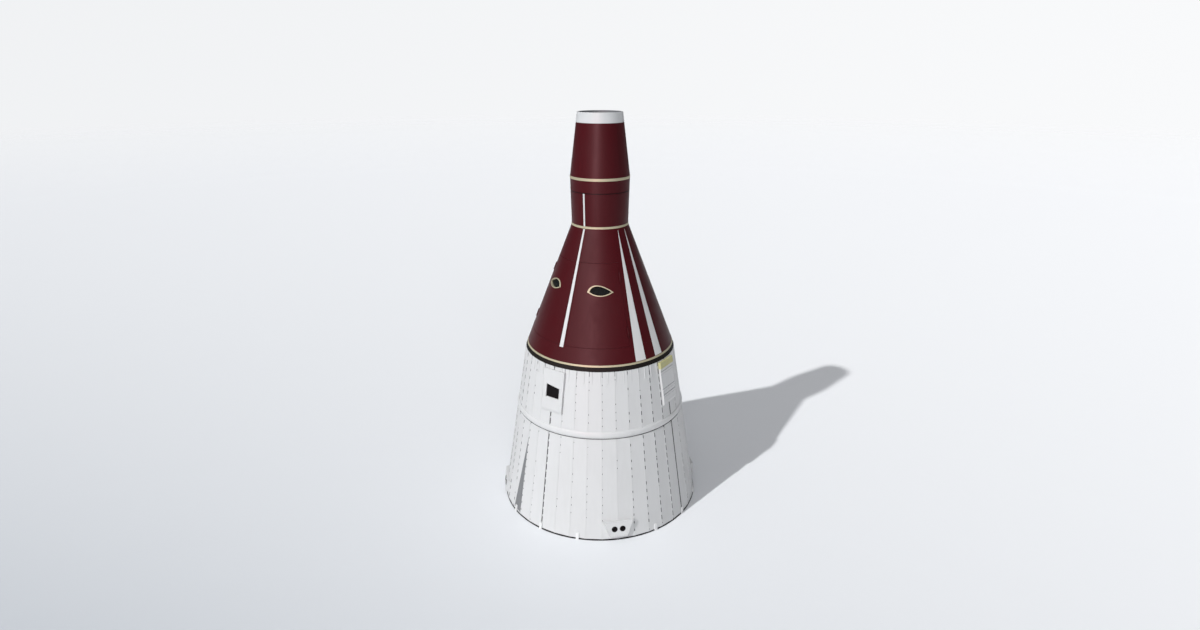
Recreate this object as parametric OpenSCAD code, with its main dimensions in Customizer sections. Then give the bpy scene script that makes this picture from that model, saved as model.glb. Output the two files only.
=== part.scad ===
// Two-seat orbital space capsule standing on its launch adapter.
// Millimetres. Origin at the centre of the adapter's base, +Z to the nose,
// and -Y to the spine between the two crew hatches.
// An azimuth runs from -Y towards +X, in degrees.

/* [Adapter] */
// Outside diameter of the adapter at its base, across the skin's corners
base_d = 3050; // [2540:10:3660]
// Outside diameter of the adapter where it meets the heat shield
joint_d = 2232; // [1860:4:2680]
// Height of the adapter
adapter_h = 2465; // [2054:1:2958]
// Thickness of the adapter's skin with its stringers
adapter_wall = 40; // [33:1:48]
// Flat facets round the adapter
facet_count = 40; // [32:8:48]
// Turn of the adapter against the hatch plane
adapter_turn = -2.7; // [-4:0.1:4]
// Width of the four open seams between skin quarters
seam_w = 8; // [6:1:12]
// Height at which the equipment section's skin ends
split_z = 1500; // [1250:1:1800]
// Height of the dark groove under the raised band
split_groove_h = 22; // [12:1:27]
// Height of the raised band between the two sections
split_band_h = 87; // [72:1:105]
// How far the band stands out of the skin
split_band_proud = 14; // [8:1:18]

/* [Launch ring] */
// Height of the base ring
base_ring_h = 20; // [16:1:24]
// Width of the base ring's flange, measured inwards
flange_w = 125; // [104:1:150]
// Bolt circle diameter
bolt_circle_d = 2900; // [2880:2:2920]
// Number of bolts
bolt_count = 20; // [16:4:24]
// Diameter of a bolt hole
bolt_d = 14; // [12:1:16]
// Width of an attachment lug
lug_w = 45; // [37:1:54]
// Height of an attachment lug
lug_h = 100; // [83:1:120]
// How far a lug stands out of the base ring
lug_proud = 16; // [12:1:20]
// Angle from one lug to the next
lug_pitch = 22.5; // [22.5:22.5:45]

/* [Aft end] */
// Height of the closing bulkhead above the base
aft_bulkhead_z = 150; // [140:5:200]
// Thickness of the closing bulkhead
aft_bulkhead_t = 30; // [25:1:36]
// Exit diameter of an aft thruster
aft_nozzle_d = 130; // [110:2:156]
// Distance of an aft thruster from the axis
aft_nozzle_r = 1180; // [1000:10:1250]

/* [Attitude thruster fairings] */
// Width of the fairing's face at its top
fairing_top_w = 440; // [366:2:480]
// Width of the fairing's face at its bottom
fairing_bottom_w = 262; // [240:2:314]
// Height of the fairing's face
fairing_h = 240; // [200:2:288]
// Height of the face's lower edge above the base
fairing_z = 62; // [55:1:74]
// How far the face stands out of the skin's corner
fairing_proud = 32; // [27:1:38]
// How far the sides spread from the face to the skin
fairing_flare = 30; // [25:1:36]
// Diameter of a nozzle bore
nozzle_d = 80; // [67:1:96]
// Distance between the two nozzles of a fairing
nozzle_pitch = 118; // [100:1:136]
// Height of the nozzles above the face's lower edge
nozzle_rise = 120; // [100:1:130]

/* [Side panels] */
// Width of a side panel
panel_w = 348; // [290:2:400]
// Height of the port panel, along the skin
port_panel_h = 620; // [520:5:650]
// Height of the umbilical fairing, along the skin
umbilical_h = 650; // [545:5:660]
// Height of the panels' lower edge above the base
panel_z = 1806; // [1760:1:1850]
// Turn of the panels from the skin's seams
panel_turn = 1; // [0:0.5:2]
// Height of the primed cap that tops the umbilical fairing, along the skin
cap_l = 92; // [77:1:110]
// How far a side panel stands out of the skin's corner
panel_proud = 18; // [15:1:21]
// How far the primed cap stands out of the skin's corner
cap_proud = 32; // [27:1:38]
// Width of the port
port_w = 222; // [186:2:266]
// Height of the port's taller side
port_tall = 186; // [155:1:223]
// Height of the port's shorter side
port_short = 152; // [127:1:182]
// Height of the port's lower edge above the panel's lower edge
port_rise = 216; // [180:1:259]

/* [Re-entry module] */
// Height of the heat shield's dark rim
shield_h = 60; // [50:1:72]
// Radius of the heat shield's dished face
shield_dish_r = 3660; // [3050:10:4390]
// Height of the cabin from the heat shield to the neck
cabin_h = 1782; // [1485:1:2138]
// Diameter at the neck
neck_d = 806; // [672:2:920]
// Thickness of the cabin's wall, its hatches included
cabin_wall = 60; // [50:1:72]
// Height of the trim ring at the cabin's base
base_trim_h = 24; // [20:1:29]
// Height of the trim ring at the neck
neck_trim_h = 29; // [24:1:35]
// Height of the control thruster section
control_h = 451; // [376:1:541]
// Diameter at the top of the control thruster section
control_d = 830; // [750:2:996]
// Height of the collar above it, groove included
collar_h = 173; // [144:1:208]
// Height and depth of the groove under the collar
collar_groove = 8; // [6:1:10]
// Largest diameter of the nose, at its trim ring
nose_d = 838; // [760:2:1000]
// Height of the trim ring at the foot of the nose
nose_trim_h = 36; // [30:1:43]
// Height of the tapered nose section
nose_h = 712; // [593:1:854]
// Diameter at the foot of the nose cap
cap_foot_d = 662; // [600:2:740]
// Diameter at the top of the nose cap
cap_top_d = 630; // [560:2:700]
// Height of the nose cap
cap_h = 136; // [113:1:163]
// Thickness of the nose cap's wall at its top
cap_wall = 26; // [22:1:31]
// Depth of the recess in the nose
recess_depth = 84; // [70:1:100]
// How far a trim ring stands out of the skin
trim_proud = 3; // [2:0.5:4]

/* [Hatches] */
// Azimuth of the hatch opening's inner edge
hatch_a0 = 3; // [2.5:0.5:3.5]
// Azimuth of the hatch opening's outer edge
hatch_a1 = 57; // [47.5:0.5:58]
// Height of the hatch opening's lower edge above the heat shield
hatch_rise = 235; // [200:5:280]
// Height of the hatch opening
hatch_h = 1100; // [1010:5:1150]
// Gap round a hatch at its sides, as an angle
hatch_gap_a = 0.6; // [0.5:0.1:0.8]
// Gap above and below a hatch
hatch_gap = 7; // [6.5:0.5:8.5]
// Distance of each hinge from the hatch opening's ends
hinge_inset = 190; // [160:5:228]
// Length of a hinge
hinge_l = 120; // [100:2:144]
// Diameter of a hinge knuckle
knuckle_d = 18; // [16:1:21]
// Diameter of a hinge pin
pin_d = 10; // [8:1:11]
// Width of a hinge leaf
leaf_w = 38; // [32:1:42]
// Thickness of a hinge leaf
leaf_t = 7; // [6:0.5:8]

/* [Windows] */
// Where a window's centre lies across its hatch, from 0 at the inner edge to 1
window_share = 0.548; // [0.5:0.002:0.6]
// Height of a window's centre above the heat shield
window_rise = 965; // [900:1:1000]
// Width of a window's frame, tip to tip
window_w = 366; // [304:2:400]
// Height of the frame's upper edge above the tips
window_up = 92; // [76:1:110]
// Depth of the frame's lower edge below the tips
window_down = 64; // [54:1:76]
// Where along the width the upper edge peaks
window_peak = 0.36; // [0.3:0.01:0.5]
// Width of the frame's face
frame_w = 13; // [11:0.5:15.5]
// Thickness of the glass
glass_t = 12; // [10:1:14]
// Depth of the glass under the skin
glass_depth = 30; // [28:1:36]

/* [Stripes] */
// Width of the spine stripe, as an angle
spine_stripe_a = 3.4; // [2.8:0.1:3.8]
// Width of the forward side stripe at its foot
stripe_1_w = 166; // [138:1:199]
// Azimuth of the forward side stripe's straight edge
stripe_1_a = 68.6; // [66:0.1:72]
// Width of the aft side stripe at its foot
stripe_2_w = 153; // [128:1:184]
// Azimuth of the aft side stripe's straight edge
stripe_2_a = 86.8; // [84:0.1:90]

/* [Cabin fittings] */
// Width of a seat
seat_w = 440; // [370:2:460]
// Distance of a seat's centre from the hatch plane
seat_x = 300; // [290:1:320]
// Length of a seat's back
seat_back_l = 900; // [750:5:940]
// Height of a seat's pan
seat_pan_h = 400; // [334:2:480]
// Thickness of a seat's frame
seat_frame_t = 60; // [50:1:72]
// Thickness of a seat's pad
seat_pad_t = 55; // [46:1:66]
// Width of the console between the seats
console_w = 110; // [92:1:130]
// Height of the instrument panel above the heat shield
panel_rise = 900; // [860:5:960]
// Thickness of the instrument panel
instrument_t = 70; // [58:1:84]

/* [Hidden] */
$fn = 96;

white = [0.90, 0.91, 0.92];
burgundy = [0.33, 0.10, 0.13];
gold = [0.80, 0.70, 0.52];
dark = [0.05, 0.05, 0.05];
steel = [0.62, 0.64, 0.66];
grey = [0.42, 0.43, 0.45];

seat_gap = 0.3;      // between a piece and the curved face that carries it
side_gap = 0.3;      // round a piece that is let into a pocket
run_gap = 0.05;      // round a hinge pin
end_gap = 1;         // between two knuckles
strip_sunk = 8;      // how far a seam's strip lies under the skin
through = 10;        // how far a cutter runs past what it cuts
far = 4000;          // longer than any radius

// ---------- adapter geometry ----------
base_r = base_d / 2;
joint_r = joint_d / 2;
adapter_slope = (base_r - joint_r) / adapter_h;
adapter_tilt = atan(adapter_slope);
facet_a = 360 / facet_count;
flat = cos(facet_a / 2);
quarter = 90;

// Radius of the skin's corners at a height
function adapter_r(z) = base_r - adapter_slope * z;
// Ring of skin corners, inset inwards
function facet_ring(z, inset) =
    [for (i = [0 : facet_count - 1])
        let (a = adapter_turn + i * facet_a)
        (adapter_r(z) - inset) * [sin(a), -cos(a)]];

// Faceted cone between two heights
module facet_cone(z0, z1, inset = 0) {
    translate([0, 0, z0])
        linear_extrude(height = z1 - z0, scale = (adapter_r(z1) - inset) / (adapter_r(z0) - inset))
            polygon(facet_ring(z0, inset));
}

// Four quarters of skin with open seams between them
module skin_quarters(z0, z1) {
    difference() {
        facet_cone(z0, z1);
        facet_cone(z0 - through, z1 + through, adapter_wall);
        for (i = [0 : 1])
            rotate([0, 0, adapter_turn + i * quarter])
                translate([-seam_w / 2, -far / 2, z0 - through])
                    cube([seam_w, far, z1 - z0 + 2 * through]);
    }
}

// Places children on the adapter's corner line: -Y outwards, +Z up the slope
module on_adapter(a, z) {
    rotate([0, 0, adapter_turn + a])
        translate([0, -adapter_r(z), z])
            rotate([-adapter_tilt, 0, 0])
                children();
}

// A flat outline drawn as [x, up], made a slab from y0 to y1
module slab(y0, y1) {
    translate([0, y1, 0]) rotate([90, 0, 0]) linear_extrude(height = y1 - y0) children();
}

// ---------- cabin geometry ----------
cabin_z = adapter_h + shield_h;
neck_z = cabin_z + cabin_h;
neck_r = neck_d / 2;
cabin_slope = (joint_r - neck_r) / (neck_z - adapter_h);
cabin_tilt = atan(cabin_slope);
sill_z = cabin_z + base_trim_h;
crown_z = neck_z - neck_trim_h * 0.38;
control_z = crown_z + neck_trim_h;
collar_z = control_z + control_h;
nose_trim_z = collar_z + collar_h;
nose_z = nose_trim_z + nose_trim_h;
cap_z = nose_z + nose_h;
top_z = cap_z + cap_h;
hatch_z0 = cabin_z + hatch_rise;
hatch_z1 = hatch_z0 + hatch_h;
hinge_a = hatch_a1;
window_a = hatch_a0 + window_share * (hatch_a1 - hatch_a0);

// Radius of the cabin's skin at a height
function cabin_r(z) = joint_r - cabin_slope * (z - adapter_h);
// Radius of the cabin's inner face at a height
function cabin_inner_r(z) = cabin_r(z) - cabin_wall / cos(cabin_tilt);
// Point of the wall at depth n, square in from the skin at height z
function wall_point(z, n) = [cabin_r(z) - n * cos(cabin_tilt), z - n * sin(cabin_tilt)];
// Radius of the control section between the neck and its top
function control_r(z) =
    neck_r + (control_d / 2 - neck_r) * (z - neck_z) / (collar_z - neck_z);

// Turns an outline drawn as [radius, height] from one azimuth to another
module sweep(a0, a1) {
    rotate([0, 0, a0 - 90]) rotate_extrude(angle = a1 - a0) children();
}

// Piece of the cabin's wall whose ends are square to its skin
module wall_piece(z0, z1, a0, a1, n0 = 0, n1 = cabin_wall) {
    sweep(a0, a1)
        polygon([wall_point(z0, n0), wall_point(z0, n1), wall_point(z1, n1), wall_point(z1, n0)]);
}

// Places children on the cabin's skin: -Y outwards, +Z up the slope
module on_cabin(a, z) {
    rotate([0, 0, a])
        translate([0, -cabin_r(z), z])
            rotate([-cabin_tilt, 0, 0])
                children();
}

// ---------- launch ring ----------
module base_ring() {
    color(dark)
        difference() {
            cylinder(h = base_ring_h, r1 = base_r, r2 = adapter_r(base_ring_h));
            translate([0, 0, -through])
                cylinder(h = base_ring_h + 2 * through, r = base_r - flange_w);
            for (i = [0 : bolt_count - 1])
                rotate([0, 0, i * 360 / bolt_count])
                    translate([bolt_circle_d / 2, 0, -through])
                        cylinder(h = base_ring_h + 2 * through, d = bolt_d);
        }
}

// Lugs stand at every pitch, except under the four thruster fairings
module base_lugs() {
    color(white)
        for (a = [0 : lug_pitch : 359])
            if ((a + quarter / 2) % quarter != 0) {
                // a lug on a corner of the skin stands further out than one on a facet
                off = abs(a / facet_a - floor(a / facet_a)) < 0.01 ? 1 : flat;
                back_low = adapter_r(base_ring_h) + seat_gap;
                back_foot = adapter_r(base_ring_h) * off + seat_gap;
                back_top = adapter_r(lug_h) * off + seat_gap;
                rotate([0, 0, adapter_turn + a])
                    translate([-lug_w / 2, 0, 0])
                        rotate([90, 0, 90])
                            linear_extrude(height = lug_w)
                                polygon([
                                    [-base_r - lug_proud, 0],
                                    [-base_r - seat_gap, 0],
                                    [-back_low, base_ring_h],
                                    [-back_foot, base_ring_h],
                                    [-back_top, lug_h],
                                    [-back_top - lug_proud * 0.8, lug_h]
                                ]);
            }
}

// ---------- aft end ----------
module aft_bulkhead() {
    r = (adapter_r(aft_bulkhead_z + aft_bulkhead_t) - adapter_wall) * flat - seat_gap;
    color(gold) translate([0, 0, aft_bulkhead_z]) cylinder(h = aft_bulkhead_t, r = r);
}

// ---------- adapter skin ----------
module equipment_skin() {
    color(white) skin_quarters(base_ring_h, split_z);
}

module retro_skin() {
    color(white) skin_quarters(split_z + split_groove_h + split_band_h, adapter_h);
}

// Dark strips let into the four seams, a little under the skin
module seam_strips() {
    color(dark)
        for (span = [[base_ring_h, split_z], [split_z + split_groove_h + split_band_h, adapter_h]])
            for (i = [0 : 3])
                rotate([0, 0, adapter_turn + quarter * i])
                    translate([-seam_w / 2 + side_gap, 0, 0])
                        rotate([90, 0, 90])
                            linear_extrude(height = seam_w - 2 * side_gap)
                                polygon([
                                    [-adapter_r(span[0]) + strip_sunk, span[0]],
                                    [-adapter_r(span[1]) + strip_sunk, span[1]],
                                    [-adapter_r(span[1]) + adapter_wall - side_gap, span[1]],
                                    [-adapter_r(span[0]) + adapter_wall - side_gap, span[0]]
                                ]);
}

// Structural ring: a recessed dark groove below, a rounded band above
module split_band() {
    z1 = split_z + split_groove_h;
    z2 = z1 + split_band_h;
    steps = 12;
    color(white)
        rotate_extrude()
            polygon(concat(
                [
                    [adapter_r(split_z) - adapter_wall, split_z],
                    [adapter_r(split_z) - split_band_proud, split_z],
                    [adapter_r(z1) - split_band_proud, z1]
                ],
                [for (i = [0 : steps])
                    let (turn = 180 * i / steps, z = z1 + split_band_h * (1 - cos(turn)) / 2)
                    [adapter_r(z) + split_band_proud * sin(turn), z]],
                [[adapter_r(z2) - adapter_wall, z2]]
            ));
}

// Long grey wedge on one facet, one edge along the facet's corner, notched round a lug
module grey_wedge_panel() {
    plate_t = 3;
    lug_clear = 4;
    foot_w = 190;
    foot_z = base_ring_h + 25;
    tip_z = split_z - 230;
    facet_tilt = atan(adapter_slope * flat);
    half_w = adapter_r(foot_z) * sin(facet_a / 2);
    tip_half_w = adapter_r(tip_z) * sin(facet_a / 2);
    rise = (tip_z - foot_z) / cos(facet_tilt);
    lug_top = lug_h - foot_z + lug_clear;
    color(grey)
        rotate([0, 0, adapter_turn - lug_pitch])
            translate([0, -adapter_r(foot_z) * flat, foot_z])
                rotate([-facet_tilt, 0, 0])
                    slab(-plate_t - seat_gap, -seat_gap)
                        difference() {
                            polygon([[half_w, 0], [tip_half_w, rise], [half_w - foot_w, 0]]);
                            translate([-lug_w / 2 - lug_clear, -through])
                                square([lug_w + 2 * lug_clear, lug_top + through]);
                        }
}

// ---------- thruster fairings ----------
module fairing_face(w0, w1) {
    polygon([[-w0 / 2, 0], [w0 / 2, 0], [w1 / 2, fairing_h], [-w1 / 2, fairing_h]]);
}

module nozzle_places() {
    for (x = [-1, 1])
        translate([x * nozzle_pitch / 2, 0, nozzle_rise]) rotate([90, 0, 0]) children();
}

module thruster_fairings() {
    sheet = 1;
    sunk = 30;
    color(white)
        for (i = [0 : 3])
            difference() {
                on_adapter(quarter * (i + 0.5), fairing_z)
                    difference() {
                        hull() {
                            slab(-fairing_proud, -fairing_proud + sheet)
                                fairing_face(fairing_bottom_w, fairing_top_w);
                            slab(sunk - sheet, sunk)
                                fairing_face(fairing_bottom_w + 2 * fairing_flare,
                                             fairing_top_w + 2 * fairing_flare);
                        }
                        nozzle_places() cylinder(h = far / 10, d = nozzle_d, center = true);
                    }
                facet_cone(-through, split_z, -seat_gap);
            }
}

// A bell in each bore of the fairings, and two larger ones under the bulkhead
module nozzle_cup(d, l) {
    rim = 3;
    difference() {
        cylinder(h = l, d = d);
        translate([0, 0, rim * 2])
            cylinder(h = l, r1 = d / 4, r2 = d / 4 + (d / 4 - rim) * l / (l - rim * 2));
    }
}

module thruster_nozzles() {
    cup_l = fairing_proud - 8;
    color(dark) {
        for (i = [0 : 3])
            on_adapter(quarter * (i + 0.5), fairing_z)
                nozzle_places()
                    translate([0, 0, 4]) nozzle_cup(nozzle_d - 2 * seat_gap, cup_l);
        for (i = [0 : 1])
            rotate([0, 0, adapter_turn + quarter + i * 180])
                translate([0, -aft_nozzle_r, aft_bulkhead_z])
                    rotate([180, 0, 0]) nozzle_cup(aft_nozzle_d, aft_bulkhead_z - 2 * base_ring_h);
    }
}

// ---------- side panels ----------
// Side view of a panel with a bevelled lower end, made a box across its width
module panel_box(h, proud) {
    bevel = 42;
    sunk = 30;
    translate([-panel_w / 2, 0, 0])
        rotate([90, 0, 90])
            linear_extrude(height = panel_w)
                polygon([[sunk, 0], [-proud / 3, 0], [-proud, bevel], [-proud, h], [sunk, h]]);
}

// The port's outline: a taller side towards -X and a sloping upper edge
module port_outline(grow = 0) {
    polygon([
        [-port_w / 2 - grow, port_rise - grow],
        [port_w / 2 + grow, port_rise - grow],
        [port_w / 2 + grow, port_rise + port_short + grow],
        [-port_w / 2 - grow, port_rise + port_tall + grow]
    ]);
}

module port_panels() {
    color(white)
        for (i = [0 : 1])
            difference() {
                on_adapter(panel_turn + i * 180, panel_z)
                    difference() {
                        panel_box(port_panel_h, panel_proud);
                        slab(-far / 10, far / 10) port_outline();
                    }
                facet_cone(split_z, adapter_h + through, -seat_gap);
            }
}

// Dark scarfed exit that lines the bottom of each port
module port_liners() {
    liner_t = 4;
    lift = 3;
    color(dark)
        for (i = [0 : 1])
            on_adapter(panel_turn + i * 180, panel_z)
                slab(-lift - liner_t, -lift) port_outline(-side_gap);
}

module umbilical_fairings() {
    band_h = 34;
    band_proud = 5;
    body_l = umbilical_h - cap_l - side_gap;
    color(white)
        for (i = [0 : 1])
            difference() {
                on_adapter(quarter + panel_turn * (1 - 2 * i) + i * 180, panel_z)
                    union() {
                        panel_box(body_l, panel_proud);
                        for (rise = [0.25, 0.41, 0.88])
                            translate([-panel_w / 2, -panel_proud - band_proud, rise * body_l - band_h / 2])
                                cube([panel_w, band_proud + 1, band_h]);
                    }
                facet_cone(split_z, adapter_h + through, -seat_gap);
            }
}

// Primed connector cover above each umbilical fairing
module umbilical_caps() {
    sunk = 30;
    color([0.72, 0.72, 0.50])
        for (i = [0 : 1])
            difference() {
                on_adapter(quarter + panel_turn * (1 - 2 * i) + i * 180, panel_z)
                    translate([-panel_w / 2, -cap_proud, umbilical_h - cap_l])
                        cube([panel_w, cap_proud + sunk, cap_l]);
                facet_cone(split_z, adapter_h + through, -seat_gap);
            }
}

// ---------- re-entry module ----------
// Dished shield: the dark rim shows, the dish faces down into the adapter
module heat_shield() {
    dish_r = (joint_r - adapter_wall) * flat - through;
    steps = 10;
    drop = function(r) sqrt(shield_dish_r * shield_dish_r - r * r)
        - sqrt(shield_dish_r * shield_dish_r - dish_r * dish_r);
    color(dark)
        rotate_extrude()
            polygon(concat(
                [for (i = [0 : steps]) let (r = dish_r * i / steps) [r, adapter_h - drop(r)]],
                [[joint_r, adapter_h], [cabin_r(cabin_z), cabin_z], [0, cabin_z]]
            ));
}

module base_trim() {
    color(gold)
        rotate_extrude()
            polygon([
                [cabin_inner_r(cabin_z), cabin_z],
                [cabin_r(cabin_z) + trim_proud, cabin_z],
                [cabin_r(sill_z) + trim_proud, sill_z],
                [cabin_inner_r(sill_z), sill_z]
            ]);
}

module cabin_sill() {
    color(burgundy)
        rotate_extrude()
            polygon([
                [cabin_r(sill_z), sill_z],
                wall_point(hatch_z0, 0),
                wall_point(hatch_z0, cabin_wall),
                [cabin_inner_r(sill_z), sill_z]
            ]);
}

// Upper wall of the cabin, closed by the forward bulkhead
module cabin_crown() {
    bulkhead_z = crown_z - cabin_wall;
    color(burgundy)
        rotate_extrude()
            polygon([
                wall_point(hatch_z1, 0),
                [cabin_r(crown_z), crown_z],
                [0, crown_z],
                [0, bulkhead_z],
                [cabin_inner_r(bulkhead_z), bulkhead_z],
                wall_point(hatch_z1, cabin_wall)
            ]);
}

module cabin_spine() {
    a = hatch_a0 - hatch_gap_a / 2;
    color(burgundy) wall_piece(hatch_z0 + seat_gap, hatch_z1 - seat_gap, -a, a);
}

back_a = 125;
module cabin_side_right() {
    color(burgundy)
        difference() {
            wall_piece(hatch_z0 + seat_gap, hatch_z1 - seat_gap, hatch_a1 + hatch_gap_a / 2, back_a);
            hinge_places() hinge_pocket(1);
        }
}

module cabin_side_left() {
    mirror([1, 0, 0]) cabin_side_right();
}

module cabin_back() {
    color(burgundy) wall_piece(hatch_z0 + seat_gap, hatch_z1 - seat_gap, back_a, 360 - back_a);
}

module neck_trim() {
    inner_r = neck_r - cabin_wall;
    color(gold)
        rotate_extrude()
            polygon([
                [inner_r, crown_z],
                [cabin_r(crown_z) + trim_proud, crown_z],
                [neck_r + trim_proud, neck_z],
                [control_r(control_z) + trim_proud, control_z],
                [inner_r, control_z]
            ]);
}

module control_section() {
    color(burgundy)
        translate([0, 0, control_z])
            cylinder(h = control_h, r1 = control_r(control_z), r2 = control_d / 2);
}

// Short collar under the nose's trim ring, with a groove at its foot
module recovery_collar() {
    r0 = control_d / 2 + 1;
    color(burgundy)
        rotate_extrude()
            polygon([
                [0, collar_z],
                [r0 - collar_groove, collar_z],
                [r0 - collar_groove, collar_z + collar_groove],
                [r0, collar_z + collar_groove],
                [nose_d / 2, nose_trim_z],
                [0, nose_trim_z]
            ]);
}

module nose_trim() {
    r1 = nose_d / 2 + trim_proud;
    color(gold)
        rotate_extrude()
            polygon([
                [nose_d / 2 - cabin_wall, nose_trim_z],
                [r1, nose_trim_z],
                [r1, nose_z],
                [nose_d / 2 - cabin_wall, nose_z]
            ]);
}

module nose_section() {
    color(burgundy)
        translate([0, 0, nose_z])
            cylinder(h = nose_h, r1 = nose_d / 2, r2 = cap_foot_d / 2);
}

module nose_cap() {
    color(white)
        difference() {
            translate([0, 0, cap_z]) cylinder(h = cap_h, d1 = cap_foot_d, d2 = cap_top_d);
            translate([0, 0, top_z - recess_depth])
                cylinder(h = recess_depth + through, r = cap_top_d / 2 - cap_wall);
        }
}

// Grey face of the rendezvous radar with its four flat spiral aerials
module radar_face() {
    face_t = 20;
    aerial_d = 150;
    aerial_t = 14;
    r = cap_top_d / 2 - cap_wall - seat_gap;
    color(steel)
        translate([0, 0, top_z - recess_depth])
            union() {
                cylinder(h = face_t, r = r);
                for (i = [0 : 3])
                    rotate([0, 0, 45 + quarter * i])
                        translate([r * 0.56, 0, face_t / 2])
                            cylinder(h = face_t / 2 + aerial_t, d = aerial_d);
            }
}

// ---------- white stripes ----------
stripe_t = 2;
module stripe_skin(z0, z1, a0, a1) {
    wall_piece(z0, z1, a0, a1, -seat_gap - stripe_t, -seat_gap);
}

// Stripe that narrows from its foot to a point, with its straight edge at azimuth a
module side_stripe(a, w) {
    foot_z = sill_z + 6;
    tip_z = neck_z - 40;
    rise = (tip_z - foot_z) / cos(cabin_tilt);
    spread = 12;
    tip_w = 3;
    intersection() {
        stripe_skin(foot_z, tip_z, a - spread, a + 1);
        on_cabin(a, foot_z)
            slab(-far / 20, far / 20)
                polygon([[0, -through], [0, rise], [-tip_w, rise], [-w, 0], [-w, -through]]);
    }
}

module white_stripes() {
    half = spine_stripe_a / 2;
    color(white) {
        stripe_skin(cabin_z + 210, crown_z - through, -half, half);
        sweep(-half, half)
            polygon([
                [control_r(control_z) + seat_gap, control_z + 1],
                [control_r(control_z) + seat_gap + stripe_t, control_z + 1],
                [control_d / 2 + seat_gap + stripe_t, collar_z - 1],
                [control_d / 2 + seat_gap, collar_z - 1]
            ]);
        for (m = [0 : 1]) mirror([m, 0, 0]) {
            side_stripe(stripe_1_a, stripe_1_w);
            side_stripe(stripe_2_a, stripe_2_w);
        }
    }
}

// ---------- windows ----------
// Almond outline drawn as [x, up]: two parabolas, the upper one peaking off centre
function almond(w, up, down, peak, steps = 16) =
    let (bend = ln(0.5) / ln(peak))
    concat(
        [for (i = [0 : steps]) let (t = i / steps, s = pow(t, bend)) [w * (t - 0.5), 4 * up * s * (1 - s)]],
        [for (i = [steps - 1 : -1 : 1]) let (t = i / steps) [w * (t - 0.5), -4 * down * t * (1 - t)]]
    );

module window_outline(inset = 0) {
    tip = inset * 2.2;
    polygon(almond(window_w - 2 * tip, window_up - inset, window_down - inset, window_peak));
}

module at_window() {
    on_cabin(window_a, cabin_z + window_rise) children();
}

// Frame: follows the skin outside and reaches past the glass inside
module window_frame_right() {
    frame_depth = glass_depth + glass_t + 6;
    color(gold)
        intersection() {
            at_window()
                slab(-far / 20, frame_depth)
                    difference() {
                        window_outline(seat_gap);
                        window_outline(frame_w);
                    }
            wall_piece(hatch_z0, hatch_z1, hatch_a0, hatch_a1, -trim_proud, far / 20);
        }
}

module window_frame_left() {
    mirror([1, 0, 0]) window_frame_right();
}

module window_glass_right() {
    color([0.1, 0.12, 0.14])
        at_window() slab(glass_depth, glass_depth + glass_t) window_outline(frame_w + seat_gap);
}

module window_glass_left() {
    mirror([1, 0, 0]) window_glass_right();
}

// ---------- hatches ----------
axis_out = 3;   // the hinge axis lies this far outside the skin
leaf_top = -2;  // outer face of a leaf, outside the skin
leaf_floor = leaf_top + leaf_t;
groove_gap = 5;  // between a knuckle and the groove it turns in
groove_r = knuckle_d / 2 + groove_gap;

module hinge_places() {
    for (z = [hatch_z0 + hinge_inset, hatch_z1 - hinge_inset])
        on_cabin(hinge_a, z) children();
}

// Pocket for one leaf, on the wall's side (1) or the hatch's side (-1), with room for the knuckles
module hinge_pocket(side) {
    l = hinge_l + 2 * side_gap;
    reach = leaf_w + side_gap;
    translate([side < 0 ? -reach : 0, -far / 100, -l / 2])
        cube([reach, far / 100 + leaf_floor, l]);
    translate([0, -axis_out, -l / 2 - groove_gap]) cylinder(h = l + 2 * groove_gap, r = groove_r);
}

knuckle_l = hinge_l / 3 - end_gap / 2;

module knuckle(z0, z1, side) {
    translate([0, -axis_out, z0]) cylinder(h = z1 - z0, d = knuckle_d);
    translate([side < 0 ? -leaf_w : 0, leaf_top, z0]) cube([leaf_w, leaf_t, z1 - z0]);
}

// Fixed half: two knuckles, the pin through them and a leaf let into the side wall
module hinge_half_fixed() {
    root = groove_r + 1;
    translate([root, leaf_top, -hinge_l / 2]) cube([leaf_w - root, leaf_t, hinge_l]);
    knuckle(-hinge_l / 2, -hinge_l / 2 + knuckle_l, 1);
    knuckle(hinge_l / 2 - knuckle_l, hinge_l / 2, 1);
    translate([0, -axis_out, -hinge_l / 2]) cylinder(h = hinge_l, d = pin_d);
}

// Moving half: one knuckle that turns on the pin, and a leaf let into the hatch
module hinge_half_moving() {
    root = groove_r + 1;
    z1 = hinge_l / 2 - knuckle_l - end_gap;
    difference() {
        union() {
            translate([-leaf_w, leaf_top, -hinge_l / 2]) cube([leaf_w - root, leaf_t, hinge_l]);
            knuckle(-z1, z1, -1);
        }
        translate([0, -axis_out, -hinge_l])
            cylinder(h = 2 * hinge_l, r = pin_d / 2 + run_gap);
    }
}

module hinge_fixed() {
    color(steel)
        for (m = [0 : 1]) mirror([m, 0, 0]) hinge_places() hinge_half_fixed();
}

module hinge_leaf_right() {
    color(steel) hinge_places() hinge_half_moving();
}

module hinge_leaf_left() {
    mirror([1, 0, 0]) hinge_leaf_right();
}

module hatch_right() {
    color(burgundy)
        difference() {
            wall_piece(hatch_z0 + hatch_gap, hatch_z1 - hatch_gap,
                       hatch_a0 + hatch_gap_a / 2, hatch_a1 - hatch_gap_a / 2);
            at_window() slab(-far / 20, far / 20) window_outline();
            hinge_places() hinge_pocket(-1);
        }
}

module hatch_left() {
    mirror([1, 0, 0]) hatch_right();
}

// ---------- cabin fittings ----------
floor_t = 30;
floor_top = cabin_z + floor_t;
module cabin_floor() {
    color(grey)
        translate([0, 0, cabin_z])
            cylinder(h = floor_t,
                     r1 = cabin_inner_r(cabin_z) - seat_gap,
                     r2 = cabin_inner_r(floor_top) - seat_gap);
}

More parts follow.
